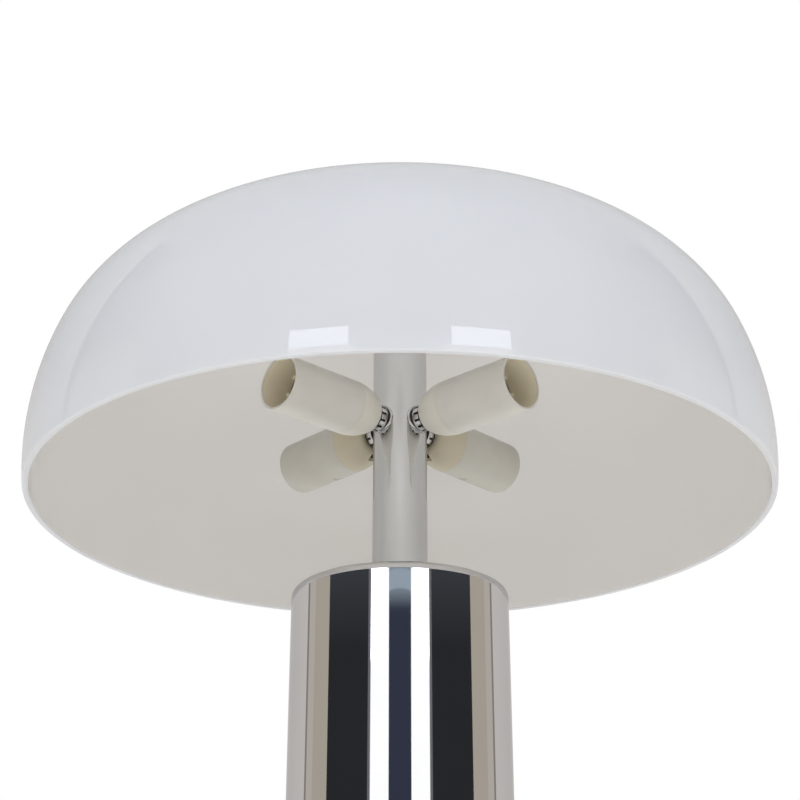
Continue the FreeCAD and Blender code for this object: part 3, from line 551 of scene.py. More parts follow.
outside, inside = dome_curve(0.0), dome_curve(DOME_WALL)
rim_outer = np.array([side_centre[0] + np.sqrt(SIDE_RADIUS**2 - RIM_DROP**2), RIM_HEIGHT])
rim_inner = np.array([side_centre[0] + np.sqrt((SIDE_RADIUS - DOME_WALL) ** 2 - RIM_DROP**2), RIM_HEIGHT])
flat_outer, flat_inner = rim_outer - (RIM_EASE, 0), rim_inner + (RIM_EASE, 0)
dome_outline = np.concatenate([
    outside, inside[::-1],
    eased(inside[0], rim_inner, flat_inner), [flat_inner, flat_outer],
    eased(flat_outer, rim_outer, outside[0]),
])
painted_light_inside_mark = np.zeros(len(dome_outline), dtype=int)
painted_light_inside_mark[len(outside):len(outside) + len(inside) - 1] = 1
make_piece("opal_dome", [patch(lathe(closed(dome_outline), DOME_TURNS), mark=painted_light_inside_mark)],
           [FINISHES["opal_acrylic"], DOME_INSIDE_PAINTED_LIGHT], "shade", ["shade"])
dome_width, dome_height = 2 * dome_outline[:, 0].max(), np.ptp(dome_outline[:, 1])
print("dome across and high, mm:", round(dome_width, 2), round(dome_height, 2))

# %% [markdown]
# On top of the stem sits a chromed disc that carries the dome on a rubber ring, and on the crown lies a
# chromed washer. Two bevelled cylinders would do from afar. An outline each gives the disc its spigot in
# the stem, and the washer an underside that follows the dome.

# %% Seat and washer
SEAT_EDGE, SPIGOT_RADIUS, SPIGOT_ROUND, STUD_THREAD, SEAT_TURNS = 0.6, 12.45, 0.3, 5.05, 128
low, high = box_mm("shade_carrier")
seat_outline = rounded([
    (STUD_THREAD, low[2], SMALL_ROUND), (SPIGOT_RADIUS, low[2], SPIGOT_ROUND),
    (SPIGOT_RADIUS, STEM_TOP, SHARP_ROUND), (high[0], STEM_TOP, SEAT_EDGE),
    (high[0], high[2], SEAT_EDGE), (STUD_THREAD, high[2], SMALL_ROUND),
])
make_piece("dome_seat", [patch(lathe(closed(seat_outline), SEAT_TURNS))], [FINISHES["chrome"]], "base",
           ["shade_carrier"])

low, high = box_mm("top_washer")
WASHER_RADIUS, WASHER_TOP, WASHER_GAP = high[0], high[2], 0.3
WASHER_EDGE, LOWER_EDGE, EDGE_INSET, EDGE_RISE, UNDER_STEPS = 0.7, 0.05, 0.2, 0.1, 12
under_radius = CROWN_RADIUS + WASHER_GAP
under = arc(crown_centre, under_radius, np.degrees(np.arccos(STUD_HOLE / under_radius)),
            np.degrees(np.arccos((WASHER_RADIUS - EDGE_INSET) / under_radius)), UNDER_STEPS)
upper = rounded([(WASHER_RADIUS, under[-1, 1] + EDGE_RISE, LOWER_EDGE),
                 (WASHER_RADIUS, WASHER_TOP, WASHER_EDGE), (STUD_HOLE, WASHER_TOP, SMALL_ROUND)])
make_piece("hold_down_washer", [patch(lathe(closed(np.concatenate([under, upper])), SEAT_TURNS))],
           [FINISHES["chrome"]], "washer", ["top_washer"])

# %% [markdown]
# A fluted knob on a stud holds the dome down. Its flutes could be cut with booleans, but a flute is
# simply a limit on the radius: along each flute the surface is the nearer of the knob's round and the
# cutter's circle.

# %% Fluted knob
low, high = box_mm("finial")
KNOB_RADIUS, KNOB_FOOT, KNOB_TOP = 10.0, low[2], high[2]
KNOB_CROWN, KNOB_FLUTES, FLUTE_RADIUS, KNOB_BORE_TOP = 8.0, 18, 0.9, 479.95
KNOB_EDGE, BORE_EDGE, BORE_CORNER = 0.4, 0.2, 0.1
SIDE_ROWS, CROWN_ROWS, TURNS_PER_FLUTE = 14, 26, 18
crown_of_knob = (KNOB_RADIUS**2 + KNOB_CROWN**2) / (2 * KNOB_CROWN)
shoulder_degrees = np.degrees(np.arccos(KNOB_RADIUS / crown_of_knob))
knob_side = np.stack([np.full(SIDE_ROWS, KNOB_RADIUS),
                      np.linspace(KNOB_FOOT + KNOB_EDGE, KNOB_TOP - KNOB_CROWN, SIDE_ROWS)], axis=1)
knob_outline = np.concatenate([
    [(0, KNOB_BORE_TOP), (STUD_THREAD - BORE_CORNER, KNOB_BORE_TOP),
     (STUD_THREAD, KNOB_BORE_TOP - BORE_CORNER), (STUD_THREAD, KNOB_FOOT + BORE_EDGE),
     (STUD_THREAD + BORE_EDGE, KNOB_FOOT), (KNOB_RADIUS - KNOB_EDGE, KNOB_FOOT)],
    knob_side,
    arc((0, KNOB_TOP - crown_of_knob), crown_of_knob, shoulder_degrees, 90, CROWN_ROWS)[1:],
])
knob = lathe(knob_outline, TURNS_PER_FLUTE * KNOB_FLUTES)
around = np.arctan2(knob[..., 1], knob[..., 0])
pitch = 2 * np.pi / KNOB_FLUTES
from_flute = (around + pitch / 2) % pitch - pitch / 2
depth = np.clip(FLUTE_RADIUS**2 - (KNOB_RADIUS * np.sin(from_flute)) ** 2, 0, None)
limit = np.where(depth > 0, KNOB_RADIUS * np.cos(from_flute) - np.sqrt(depth), KNOB_RADIUS)
reach = np.hypot(knob[..., 0], knob[..., 1])
knob[..., :2] *= np.minimum(1, limit / np.maximum(reach, 1e-9))[..., None]
make_piece("fluted_knob", [patch(knob)], [FINISHES["chrome"]], "finial", ["finial"])

# %% [markdown]
# The four lampholders are alike, so one of each piece is worked out about its own axis and then laid
# along its arm. Turning finished objects would do the same, but the place of a piece belongs in its
# mesh here, so the turn is made on the points: the axis becomes the arm, and the piece's +X side
# becomes its underside.

# %% Laying a piece along an arm
ARM_SPLAY = 1.85
ARM_ANGLES = (45 + ARM_SPLAY, 135 - ARM_SPLAY, 225 - ARM_SPLAY, 315 + ARM_SPLAY)
FRONT_HOLDERS = (3, 4)
low, high = box_mm("lampholder_shell_1")
ARM_HEIGHT = (low[2] + high[2]) / 2
HOLDER_RADIUS = (high[2] - low[2]) / 2


def on_arm(grid, angle, spin=0):
    """(x, y, s) becomes: s along the arm, y across it and x downwards, after a spin about the axis."""
    turn, bearing = np.radians(spin), np.radians(angle)
    down = grid[..., 0] * np.cos(turn) - grid[..., 1] * np.sin(turn)
    across = grid[..., 0] * np.sin(turn) + grid[..., 1] * np.cos(turn)
    along = grid[..., 2]
    return np.stack([along * np.cos(bearing) - across * np.sin(bearing),
                     along * np.sin(bearing) + across * np.cos(bearing),
                     ARM_HEIGHT - down], axis=-1)


def holder_pieces(name, patches, finishes, node, spins=(0, 0, 0, 0), front_lit_finishes=None):
    """One copy of the patches on each arm, the front pair with its own finishes if it has any: lighter
    creams, as painted light.
    """
    for number, (angle, spin) in enumerate(zip(ARM_ANGLES, spins), start=1):
        laid = [(on_arm(grid, angle, spin), kept, mark) for grid, kept, mark in patches]
        chosen_finishes = front_lit_finishes if front_lit_finishes and number in FRONT_HOLDERS else finishes
        make_piece(f"{name}_{number}", laid, chosen_finishes, "base", [f"{node}_{number}"])


print("lampholders at height", round(ARM_HEIGHT, 2), "mm, radius", round(HOLDER_RADIUS, 2), "mm")

# %% [markdown]
# A thin chromed washer lies between each lampholder and the round stem, bent to the stem's radius. It
# could be cut from a tube, but both of its faces are parts of cylinders about the stem, so how far out
# they lie depends only on how far a point is beside the arm. That is a formula for the whole grid.
# Its rim is bright chrome, and its faces take a dark metal finish: painted shade for the gap between the
# stem and the collar.

# %% Bent washers
SADDLE_RADIUS, NIPPLE_HOLE, SADDLE_GAP, COLLAR_START, SADDLE_TURNS = 7.5, 5.25, 0.05, 15.0, 96
# Painted shade: a dark metal finish for the gaps and recesses between stem, washer, collar and cap
DARK_METAL_PAINTED_SHADE = finish_of(
    "dark_metal_painted_shade", ((0.12, 0.12, 0.12), (0.07, 0.07, 0.07)), (0.45, 0.6), 300.0,
    {"size": 2500.0, "strength": 0.3, "depth": 0.02}, Metallic=0.9)
SADDLE_EASE, EASE_MIDDLE = 0.4, 0.12
# Radius, and place in the thickness from 0 at the stem to 1 at the collar, with an eased outer edge
saddle_rows = np.array([(SADDLE_RADIUS, 0.0), (SADDLE_RADIUS, 1 - SADDLE_EASE),
                        (SADDLE_RADIUS - EASE_MIDDLE, 1 - EASE_MIDDLE), (SADDLE_RADIUS - SADDLE_EASE, 1.0),
                        (NIPPLE_HOLE, 1.0), (NIPPLE_HOLE, 0.0), (SADDLE_RADIUS, 0.0)])
saddle = lathe(saddle_rows, SADDLE_TURNS)
level = STEM_RADIUS + SADDLE_GAP + (COLLAR_START - STEM_RADIUS - SADDLE_GAP) * saddle[..., 2]
saddle[..., 2] = np.sqrt(level**2 - saddle[..., 1] ** 2)
saddle_shade_mark = np.array([0, 0, 0, 1, 1, 1])
holder_pieces("bent_washer", [patch(saddle, mark=saddle_shade_mark)], [FINISHES["chrome"], DARK_METAL_PAINTED_SHADE],
              "saddle_washer")

# %% [markdown]
# Between washer and lampholder sits a chromed ring nut whose front edge is slit all round like a castle
# wall, with a narrow neck towards the cap. Booleans could cut the slits, but each is only a step in the
# radius, at a given angle and beyond a given depth, so the nut is one grid whose columns come in close
# pairs at the slit's sides.
# The quads in the slits, on the neck and on the ends are marked for the dark metal finish: painted shade in
# these recesses and gaps.

# %% Slotted collars
COLLAR_RADIUS, COLLAR_END, SLITS = 7.1, 20.5, 12
NECK_RADIUS, NECK_START, EDGE, STEP = 6.2, 18.9, 0.25, 0.02
SLIT_HALF_WIDTH, SLIT_FLOOR, SLIT_START, SLIT_PITCH = 0.65, 5.9, 16.0, 360 / SLITS
SLIT_HALF = np.degrees(np.arcsin(SLIT_HALF_WIDTH / COLLAR_RADIUS))
EDGE_MIDDLE = 0.3 * EDGE
BETWEEN_SLITS = (8.5, 15.0, 21.5)
one_slit = np.array([-SLIT_HALF - STEP, -SLIT_HALF, 0, SLIT_HALF, SLIT_HALF + STEP, *BETWEEN_SLITS])
turn = np.concatenate([one_slit + SLIT_PITCH * n for n in range(SLITS)] + [one_slit[:1] + 360])
# Radius, place along the arm, and 1 where a slit reaches
collar_rows = np.array([
    (COLLAR_RADIUS - EDGE, COLLAR_START, 0), (COLLAR_RADIUS - EDGE_MIDDLE, COLLAR_START + EDGE_MIDDLE, 0),
    (COLLAR_RADIUS, COLLAR_START + EDGE, 0), (COLLAR_RADIUS, SLIT_START - STEP, 0),
    (COLLAR_RADIUS, SLIT_START, 1), (COLLAR_RADIUS, NECK_START - EDGE, 1),
    (COLLAR_RADIUS - EDGE_MIDDLE, NECK_START - EDGE_MIDDLE, 1), (COLLAR_RADIUS - EDGE, NECK_START, 1),
    (NECK_RADIUS, NECK_START, 1), (NECK_RADIUS, COLLAR_END, 1), (NIPPLE_HOLE, COLLAR_END, 1),
    (NIPPLE_HOLE, COLLAR_START, 0), (COLLAR_RADIUS - EDGE, COLLAR_START, 0),
])
from_slit = (turn + SLIT_PITCH / 2) % SLIT_PITCH - SLIT_PITCH / 2
in_slit = np.abs(from_slit) <= SLIT_HALF + STEP / 2
radius = np.where(in_slit[:, None] & (collar_rows[:, 2] == 1),
                  np.minimum(collar_rows[:, 0], SLIT_FLOOR), collar_rows[:, 0])
bearing = np.radians(turn)[:, None]
collar = np.stack([radius * np.cos(bearing), radius * np.sin(bearing),
                   np.broadcast_to(collar_rows[:, 1], radius.shape)], axis=-1)
FIRST_SLIT_ROW, FIRST_NECK_ROW = 3, 7
row = np.arange(len(collar_rows) - 1)
slit_column = (in_slit[:-1] | in_slit[1:])[:, None]
collar_shade_mark = ((row >= FIRST_NECK_ROW) | (slit_column & (row >= FIRST_SLIT_ROW))).astype(int)
holder_pieces("slotted_collar", [patch(collar, mark=collar_shade_mark)], [FINISHES["chrome"], DARK_METAL_PAINTED_SHADE],
              "collar")

# %% [markdown]
# The two halves of each lampholder are thin mouldings with openings in them: a notch for the fixing
# screw in the cap, and a latch slot in the shell. Booleans could cut them. Here the wall is two
# grids, its outside and its inside, whose columns crowd together at the opening's sides; the quads in
# the opening are left out and four narrow strips line it.

# %% Walls with an opening
def pierced_wall(outer, inner, rows, half_width, inner_mark=0, columns=(9, 72)):
    """Patches of a wall between two outlines, with one opening at angle 0.

    rows gives the first and last outline point of the opening, on the outside and on the inside.
    A column's angle is stretched so that the opening's sides lie half_width from its middle plane.
    """
    even = np.linspace(-1, 1, columns[0])
    rest = np.linspace(0, 1, columns[1])[1:]

    def grid_of(outline):
        radius = outline[:, 0]
        side = np.arcsin(np.clip(half_width / np.maximum(radius, half_width), 0, 1))
        angle = np.concatenate([np.outer(even, side), side + np.outer(rest, 2 * np.pi - 2 * side)])
        return np.stack([radius * np.cos(angle), radius * np.sin(angle),
                         np.broadcast_to(outline[:, 1], angle.shape)], axis=-1)

    grids, edges = [], []
    for outline, (first, last), mark in ((outer, rows[0], 0), (inner, rows[1], inner_mark)):
        grid = grid_of(outline)
        kept = np.ones((grid.shape[0] - 1, grid.shape[1] - 1), dtype=bool)
        kept[:columns[0] - 1, first:last] = False
        grids.append(patch(grid, kept, mark))
        opening = grid[:columns[0], first:last + 1]
        edges.append((opening[0], opening[-1], opening[:, 0], opening[:, -1]))
    strips = [patch(np.stack(pair)) for pair in zip(*edges)]
    ends = [patch(np.stack([grids[0][0][:, row], grids[1][0][:, row]])) for row in (0, -1)]
    return grids + strips + ends


print("a wall between two outlines has", len(pierced_wall(arc((5, 0), 3, 90, 0, 4), arc((5, 0), 2, 90, 0, 4),
                                                          ((1, 2), (1, 2)), 1.0)), "patches")

# %% [markdown]
# The plastic of the lampholders differs in tone: the caps are yellower than the shells. The front holders
# get lighter copies of these creams, painted light, and the bores a yellower and much lighter cream,
# painted light inside the mouths. One cream finish with a mottle would miss that, so each of these gets
# its own pair of colours. The rear shells keep the cream of their material slot. The inside of the caps
# is painted dark brown, painted shade in the hollow that the notch shows.

# %% Plastics of the lampholders, with painted light and shade
CAP_PLASTIC = finish_of(
    "yellowed_cap_plastic", ((0.60, 0.55, 0.43), (0.555, 0.50, 0.375)), (0.38, 0.5), 60.0,
    dust=HANDLED_DUST, **MOULDED)
# Painted light: the front caps get a lighter copy of the cap's cream
FRONT_CAP_PAINTED_LIGHT = finish_of(
    "front_cap_plastic_painted_light", ((0.74, 0.72, 0.655), (0.70, 0.68, 0.61)), (0.38, 0.5), 60.0,
    dust=HANDLED_DUST, **MOULDED)
# Painted shade: the dark inside of the caps, seen through the notch
CAP_INSIDE_PAINTED_SHADE = finish_of(
    "cap_inside_painted_shade", ((0.085, 0.065, 0.045), (0.06, 0.045, 0.03)), (0.6, 0.75), 90.0,
    {"size": 1200.0, "strength": 0.3, "depth": 0.03}, IOR=1.5)
# Painted light: the front shells get a lighter copy of the shell's cream
FRONT_SHELL_PAINTED_LIGHT = finish_of(
    "front_shell_plastic_painted_light", ((0.69, 0.678, 0.635), (0.65, 0.636, 0.588)), (0.36, 0.48), 55.0,
    dust=HANDLED_DUST, **MOULDED)
# Painted light: a much lighter, yellower cream for the bores and tabs inside the mouths
BORE_PAINTED_LIGHT = finish_of(
    "bore_cream_painted_light", ((0.92, 0.865, 0.70), (0.87, 0.80, 0.635)), (0.42, 0.55), 60.0, **MOULDED)
holder_plastics = (CAP_PLASTIC, FRONT_CAP_PAINTED_LIGHT, CAP_INSIDE_PAINTED_SHADE, FRONT_SHELL_PAINTED_LIGHT, BORE_PAINTED_LIGHT)
print("plastics of the lampholders:", ", ".join(finish.name for finish in holder_plastics))

# %% [markdown]
# The cap is moulded like a bell: a flat end against the collar, a small round, and one long arc that
# runs out along the axis at the seam with the shell. A spline could follow it, but the two arcs touch
# where their centres and the point lie in one line, which gives the long arc's radius. The inside
# follows at the wall's thickness.
# The front holders ended up with the notch and the latch slot upwards and the rear ones with both
# downwards, each a little off, so cap and shell of one holder share a spin.

# %% Caps
CAP_START, SEAM, CAP_END_RADIUS, NIPPLE_THREAD = COLLAR_END, 37.0, 7.1, 5.05
CAP_WALL, CAP_END_ROUND, CAP_LAND, SEAM_EDGE = 1.6, 3.2, 2.0, 0.06
SPIGOT_OUTER, SPIGOT_INNER, SPIGOT_END = 12.85, 11.65, 43.0
BOSS_RADIUS, BOSS_END = 6.5, 27.95
NOTCH_FLOOR, NOTCH_END, NOTCH_HALF = 8.5, 25.4, 2.5
END_HOLD, SEAM_HOLD, HOLDER_TURN = 0.6, 0.5, 14.5
cap_drop, cap_length = HOLDER_RADIUS - CAP_END_RADIUS, SEAM - CAP_START
CAP_SIDE = (cap_drop**2 + cap_length**2 - 2 * cap_length * CAP_END_ROUND) / (2 * (cap_drop - CAP_END_ROUND))
end_middle = (CAP_END_RADIUS, CAP_START + CAP_END_ROUND)
side_middle = (HOLDER_RADIUS - CAP_SIDE, SEAM)
meet = -np.degrees(np.arctan2(cap_length - CAP_END_ROUND, CAP_SIDE - cap_drop))
notch_start = -np.degrees(np.arccos((NOTCH_FLOOR - CAP_END_RADIUS) / CAP_END_ROUND))


def side_angle(place, depth=0.0):
    """Angle on the long arc at a place along the arm, a depth inside the surface."""
    return np.degrees(np.arcsin((place - SEAM) / (CAP_SIDE - depth)))


cap_outer = np.concatenate([
    [(NIPPLE_THREAD, CAP_START), (CAP_END_RADIUS - END_HOLD, CAP_START)],
    arc(end_middle, CAP_END_ROUND, -90, notch_start, 4)[:-1],
    arc(end_middle, CAP_END_ROUND, notch_start, meet, 5)[:-1],
    arc(side_middle, CAP_SIDE, meet, side_angle(NOTCH_END), 5),
    arc(side_middle, CAP_SIDE, side_angle(NOTCH_END), side_angle(SEAM - SEAM_HOLD), 10)[1:],
    arc((HOLDER_RADIUS - SEAM_EDGE, SEAM - SEAM_EDGE), SEAM_EDGE, 0, 90, 5),
    [(SPIGOT_OUTER, SEAM), (SPIGOT_OUTER, SPIGOT_END)],
])
cap_inner = np.concatenate([
    [(NIPPLE_THREAD, BOSS_END), (BOSS_RADIUS, BOSS_END), (BOSS_RADIUS, CAP_START + CAP_WALL)],
    arc(end_middle, CAP_END_ROUND - CAP_WALL, -90, meet, 4)[:-1],
    arc(side_middle, CAP_SIDE - CAP_WALL, meet, side_angle(NOTCH_END, CAP_WALL), 9),
    arc(side_middle, CAP_SIDE - CAP_WALL, side_angle(NOTCH_END, CAP_WALL),
        side_angle(SEAM - CAP_LAND, CAP_WALL), 9)[1:],
    [(SPIGOT_INNER, SEAM - CAP_LAND), (SPIGOT_INNER, SPIGOT_END)],
])
# First and last point of the notch on the outer and the inner outline, eight steps apart on both
NOTCH_ROWS = ((5, 13), (6, 14))
cap_patches = pierced_wall(cap_outer, cap_inner, NOTCH_ROWS, NOTCH_HALF, inner_mark=1)
HOLDER_SPINS = (HOLDER_TURN, -HOLDER_TURN, 180 + HOLDER_TURN, 180 - HOLDER_TURN)
holder_pieces("holder_cap", cap_patches, [CAP_PLASTIC, CAP_INSIDE_PAINTED_SHADE], "lampholder_cap",
              HOLDER_SPINS, [FRONT_CAP_PAINTED_LIGHT, CAP_INSIDE_PAINTED_SHADE])
print("long arc of the cap, mm:", round(CAP_SIDE, 2), "and the arcs meet at", round(meet, 2), "degrees")

# %% [markdown]
# The shell is a thin skirt with a rounded lip. A pipe with a bevel would do but for the latch slot, so
# it is a pierced wall like the cap. Its inner grid is marked for the lighter bore finish, painted light
# inside the mouth, except for the lip, which keeps the cream of the outside.

# %% Walls of the shells
SHELL_BORE, SHELL_START, MOUTH, LIP = 13.0, 37.12, 81.6, 0.22
SLOT_MIDDLE, SLOT_HALF_WIDTH, SLOT_HALF_LENGTH = 53.0, 0.5, 3.0
BORE_LIP, LIP_HOLD, SHELL_HOLD = 0.15, 0.5, 0.6
slot_heights = (SLOT_MIDDLE - SLOT_HALF_WIDTH, SLOT_MIDDLE + SLOT_HALF_WIDTH)
shell_outer = np.concatenate([
    arc((HOLDER_RADIUS - SEAM_EDGE, SHELL_START + SEAM_EDGE), SEAM_EDGE, -90, 0, 5),
    [(HOLDER_RADIUS, SHELL_START + SHELL_HOLD), (HOLDER_RADIUS, slot_heights[0]),
     (HOLDER_RADIUS, slot_heights[1]), (HOLDER_RADIUS, MOUTH - LIP - LIP_HOLD)],
    arc((HOLDER_RADIUS - LIP, MOUTH - LIP), LIP, 0, 90, 7),
])
shell_inner = np.concatenate([
    [(SHELL_BORE, SHELL_START), (SHELL_BORE, slot_heights[0]), (SHELL_BORE, slot_heights[1]),
     (SHELL_BORE, MOUTH - SHELL_HOLD)],
    arc((SHELL_BORE + BORE_LIP, MOUTH - BORE_LIP), BORE_LIP, 180, 90, 5),
])
# First and last point of the slot on the outer and the inner outline
SLOT_ROWS = ((6, 7), (1, 2))
bore_light_mark = np.array([1, 1, 1, 0, 0, 0, 0, 0])
shell_patches = pierced_wall(shell_outer, shell_inner, SLOT_ROWS, SLOT_HALF_LENGTH, bore_light_mark)
print("patches of a shell's wall:", len(shell_patches))

# %% [markdown]
# Small tabs inside the shell keep the core from coming out. They could be pieces of their own, but they
# are moulded with the shell, so they become more patches of it: little blocks with rounded edges, whose
# outer faces lie inside the wall.

# %% Shells with their tabs
TABS, TAB_DEPTH, TAB_HALF, TAB_FLOOR, TAB_LENGTH, TAB_ROOT = 8, 1.6, 1.0, 64.55, 1.6, 0.5
TAB_BACK, TAB_NOSE, TAB_SIDE, TAB_TAPER = 0.15, 0.3, 0.1, 0.97
tab_tip, tab_root, tab_end = SHELL_BORE - TAB_DEPTH, SHELL_BORE + TAB_ROOT, TAB_FLOOR + TAB_LENGTH
tab_section = closed(rounded([
    (tab_tip, TAB_FLOOR, TAB_BACK), (tab_root, TAB_FLOOR, SHARP_ROUND),
    (tab_root, tab_end, SHARP_ROUND), (tab_tip, tab_end, TAB_NOSE),
], steps=4))
tab_middle = tab_section.mean(axis=0)
tab_scale = np.array([0.0, TAB_TAPER, 1.0, 1.0, TAB_TAPER, 0.0])[:, None, None]
tab_flat = TAB_HALF - TAB_SIDE
tab_across = np.array([-TAB_HALF, -TAB_HALF, -tab_flat, tab_flat, TAB_HALF, TAB_HALF])
tab_outline = tab_middle + (tab_section - tab_middle) * tab_scale
tab = np.stack([tab_outline[..., 0], np.broadcast_to(tab_across[:, None], tab_outline.shape[:2]),
                tab_outline[..., 1]], axis=-1)
for degrees in (np.arange(TABS) + 0.5) * 360 / TABS:
    cosine, sine = np.cos(np.radians(degrees)), np.sin(np.radians(degrees))
    turned_tab = np.stack([tab[..., 0] * cosine - tab[..., 1] * sine,
                           tab[..., 0] * sine + tab[..., 1] * cosine, tab[..., 2]], axis=-1)
    shell_patches.append(patch(turned_tab, mark=1))
holder_pieces("holder_shell", shell_patches, [FINISHES["cream_plastic"], BORE_PAINTED_LIGHT],
              "lampholder_shell", HOLDER_SPINS, [FRONT_SHELL_PAINTED_LIGHT, BORE_PAINTED_LIGHT])

# %% [markdown]
# Deep in the mouth lies the core, an olive plastic body with a seat for the bulb's thread, a well under
# it and a hole for the lead. It could be hollowed out with booleans, but all of it is round, so one
# outline from the lead's hole to the bottom of the well does it.

# %% Cores
CORE_RADIUS, CORE_TAIL, CORE_BACK, CORE_STEP, CORE_FRONT = 12.85, 11.5, 38.0, 43.15, 64.4
SLEEVE_SEAT, SLEEVE_BACK, SLEEVE_FRONT = 7.45, 47.2, 64.2
WELL_RADIUS, WELL_FLOOR, LEAD_HOLE, LEAD_FLOOR = 3.5, 45.8, 1.8, 41.0
CORE_EDGE, SEAT_ROUND, CORE_HOLD, CORE_TURNS = 0.4, 0.3, 0.5, 72
core_outline = np.concatenate([
    [(0, LEAD_FLOOR), (LEAD_HOLE, LEAD_FLOOR), (LEAD_HOLE, CORE_BACK), (CORE_TAIL, CORE_BACK),
     (CORE_TAIL, CORE_STEP), (CORE_RADIUS, CORE_STEP), (CORE_RADIUS, CORE_FRONT - CORE_EDGE - CORE_HOLD)],
    arc((CORE_RADIUS - CORE_EDGE, CORE_FRONT - CORE_EDGE), CORE_EDGE, 0, 90, 5),
    arc((SLEEVE_SEAT + SEAT_ROUND, CORE_FRONT - SEAT_ROUND), SEAT_ROUND, 90, 180, 5),
    [(SLEEVE_SEAT, CORE_FRONT - SEAT_ROUND - CORE_HOLD), (SLEEVE_SEAT, SLEEVE_BACK),
     (WELL_RADIUS, SLEEVE_BACK), (WELL_RADIUS, WELL_FLOOR), (0, WELL_FLOOR)],
])
holder_pieces("holder_core", [patch(lathe(core_outline, CORE_TURNS))], [FINISHES["core_plastic"]],
              "lampholder_core")

# %% [markdown]
# The bulb screws into a brass sleeve whose thread is rolled, so its radius goes up and down once for each
# turn while the wave climbs by one pitch. A screw modifier could wind it, but it is a sine of height and
# angle together, which fades out at both ends. At the bottom sits a contact button on a short post.

# %% Bulb threads and contacts
THREAD_PITCH, THREAD_MIDDLE, THREAD_WAVE, THREAD_WALL, THREAD_FADE = 2.8, 7.15, 0.15, 0.1, 1.5
FLOOR_OPENING, FLOOR_WALL, FLOOR_BEND, FLOOR_INSET = 5.0, 0.4, 0.3, 0.2
THREAD_ROWS, CONTACT_TURNS = 60, 36
angle = np.linspace(0, 2 * np.pi, CORE_TURNS + 1)[:, None]
height = np.linspace(SLEEVE_BACK + FLOOR_WALL + FLOOR_BEND, SLEEVE_FRONT, THREAD_ROWS)
fade = np.clip(np.minimum(height - height[0], height[-1] - height) / THREAD_FADE, 0, 1)
wave = THREAD_MIDDLE + THREAD_WAVE * fade * np.sin(2 * np.pi * height / THREAD_PITCH - angle)
thread_radius = np.concatenate([
    np.broadcast_to([FLOOR_OPENING, FLOOR_OPENING, THREAD_MIDDLE - FLOOR_INSET], (len(angle), 3)), wave,
    wave[:, ::-1] + THREAD_WALL,
    np.broadcast_to([THREAD_MIDDLE + THREAD_WALL, FLOOR_OPENING], (len(angle), 2))], axis=1)
thread_height = np.concatenate([
    [SLEEVE_BACK, SLEEVE_BACK + FLOOR_WALL, SLEEVE_BACK + FLOOR_WALL], height, height[::-1],
    [SLEEVE_BACK, SLEEVE_BACK]])
thread = np.stack([thread_radius * np.cos(angle), thread_radius * np.sin(angle),
                   np.broadcast_to(thread_height, thread_radius.shape)], axis=-1)
holder_pieces("bulb_thread", [patch(thread)], [FINISHES["brass"]], "screw_shell")

CONTACT_POST, CONTACT_RADIUS, CONTACT_SHOULDER, CONTACT_TOP = 1.5, 3.0, 46.6, 47.5
contact_rise = CONTACT_TOP - CONTACT_SHOULDER
button = (CONTACT_RADIUS**2 + contact_rise**2) / (2 * contact_rise)
button_start = np.degrees(np.arccos(CONTACT_RADIUS / button))
contact_outline = np.concatenate([
    [(0, WELL_FLOOR), (CONTACT_POST, WELL_FLOOR), (CONTACT_POST, CONTACT_SHOULDER),
     (CONTACT_RADIUS, CONTACT_SHOULDER)],
    arc((0, CONTACT_TOP - button), button, button_start, 90, 9)[1:],
])
holder_pieces("contact_button", [patch(lathe(contact_outline, CONTACT_TURNS))], [FINISHES["brass"]],
              "centre_contact")

# %% [markdown]
# The cord enters through a black plastic bush at the back of the tube. It could be turned on its side as
# an object, but a finished piece stays unturned here: it is worked out upright like the rest, and its
# points are then laid along the depth of the lamp.

# %% Cord bush
low, high = box_mm("cord_gland")
BUSH_FACE, BUSH_HEIGHT = high[1], (low[2] + high[2]) / 2
BUSH_BORE, BUSH_FLANGE, BUSH_BARREL, FLANGE_DEPTH, BUSH_LENGTH = 3.6, 8.0, 5.25, 3.0, high[1] - low[1]
MOUTH_ROUND, FLANGE_ROUND, BARREL_ROUND, BORE_ROUND, BUSH_TURNS = 0.6, 1.2, 0.4, 0.3, 64
bush_outline = rounded([
    (BUSH_BORE, 0, MOUTH_ROUND), (BUSH_FLANGE, 0, FLANGE_ROUND), (BUSH_FLANGE, FLANGE_DEPTH, SHARP_ROUND),
    (BUSH_BARREL, FLANGE_DEPTH, SHARP_ROUND), (BUSH_BARREL, BUSH_LENGTH, BARREL_ROUND),
    (BUSH_BORE, BUSH_LENGTH, BORE_ROUND),
])
bush = lathe(closed(bush_outline), BUSH_TURNS)
bush = np.stack([bush[..., 0], BUSH_FACE - bush[..., 2], BUSH_HEIGHT + bush[..., 1]], axis=-1)
make_piece("cord_bush", [patch(bush)], [FINISHES["gland_plastic"]], "base", ["cord_gland"])

# %% [markdown]
# The lamp stands on a plain pale floor. A plane from the menu would do, but it would hide the lamp from
# below. The underside of this floor is clear, so that the lamp can be looked at from there too, and it
# lies a hair under the felt, so that the two don't share a plane.

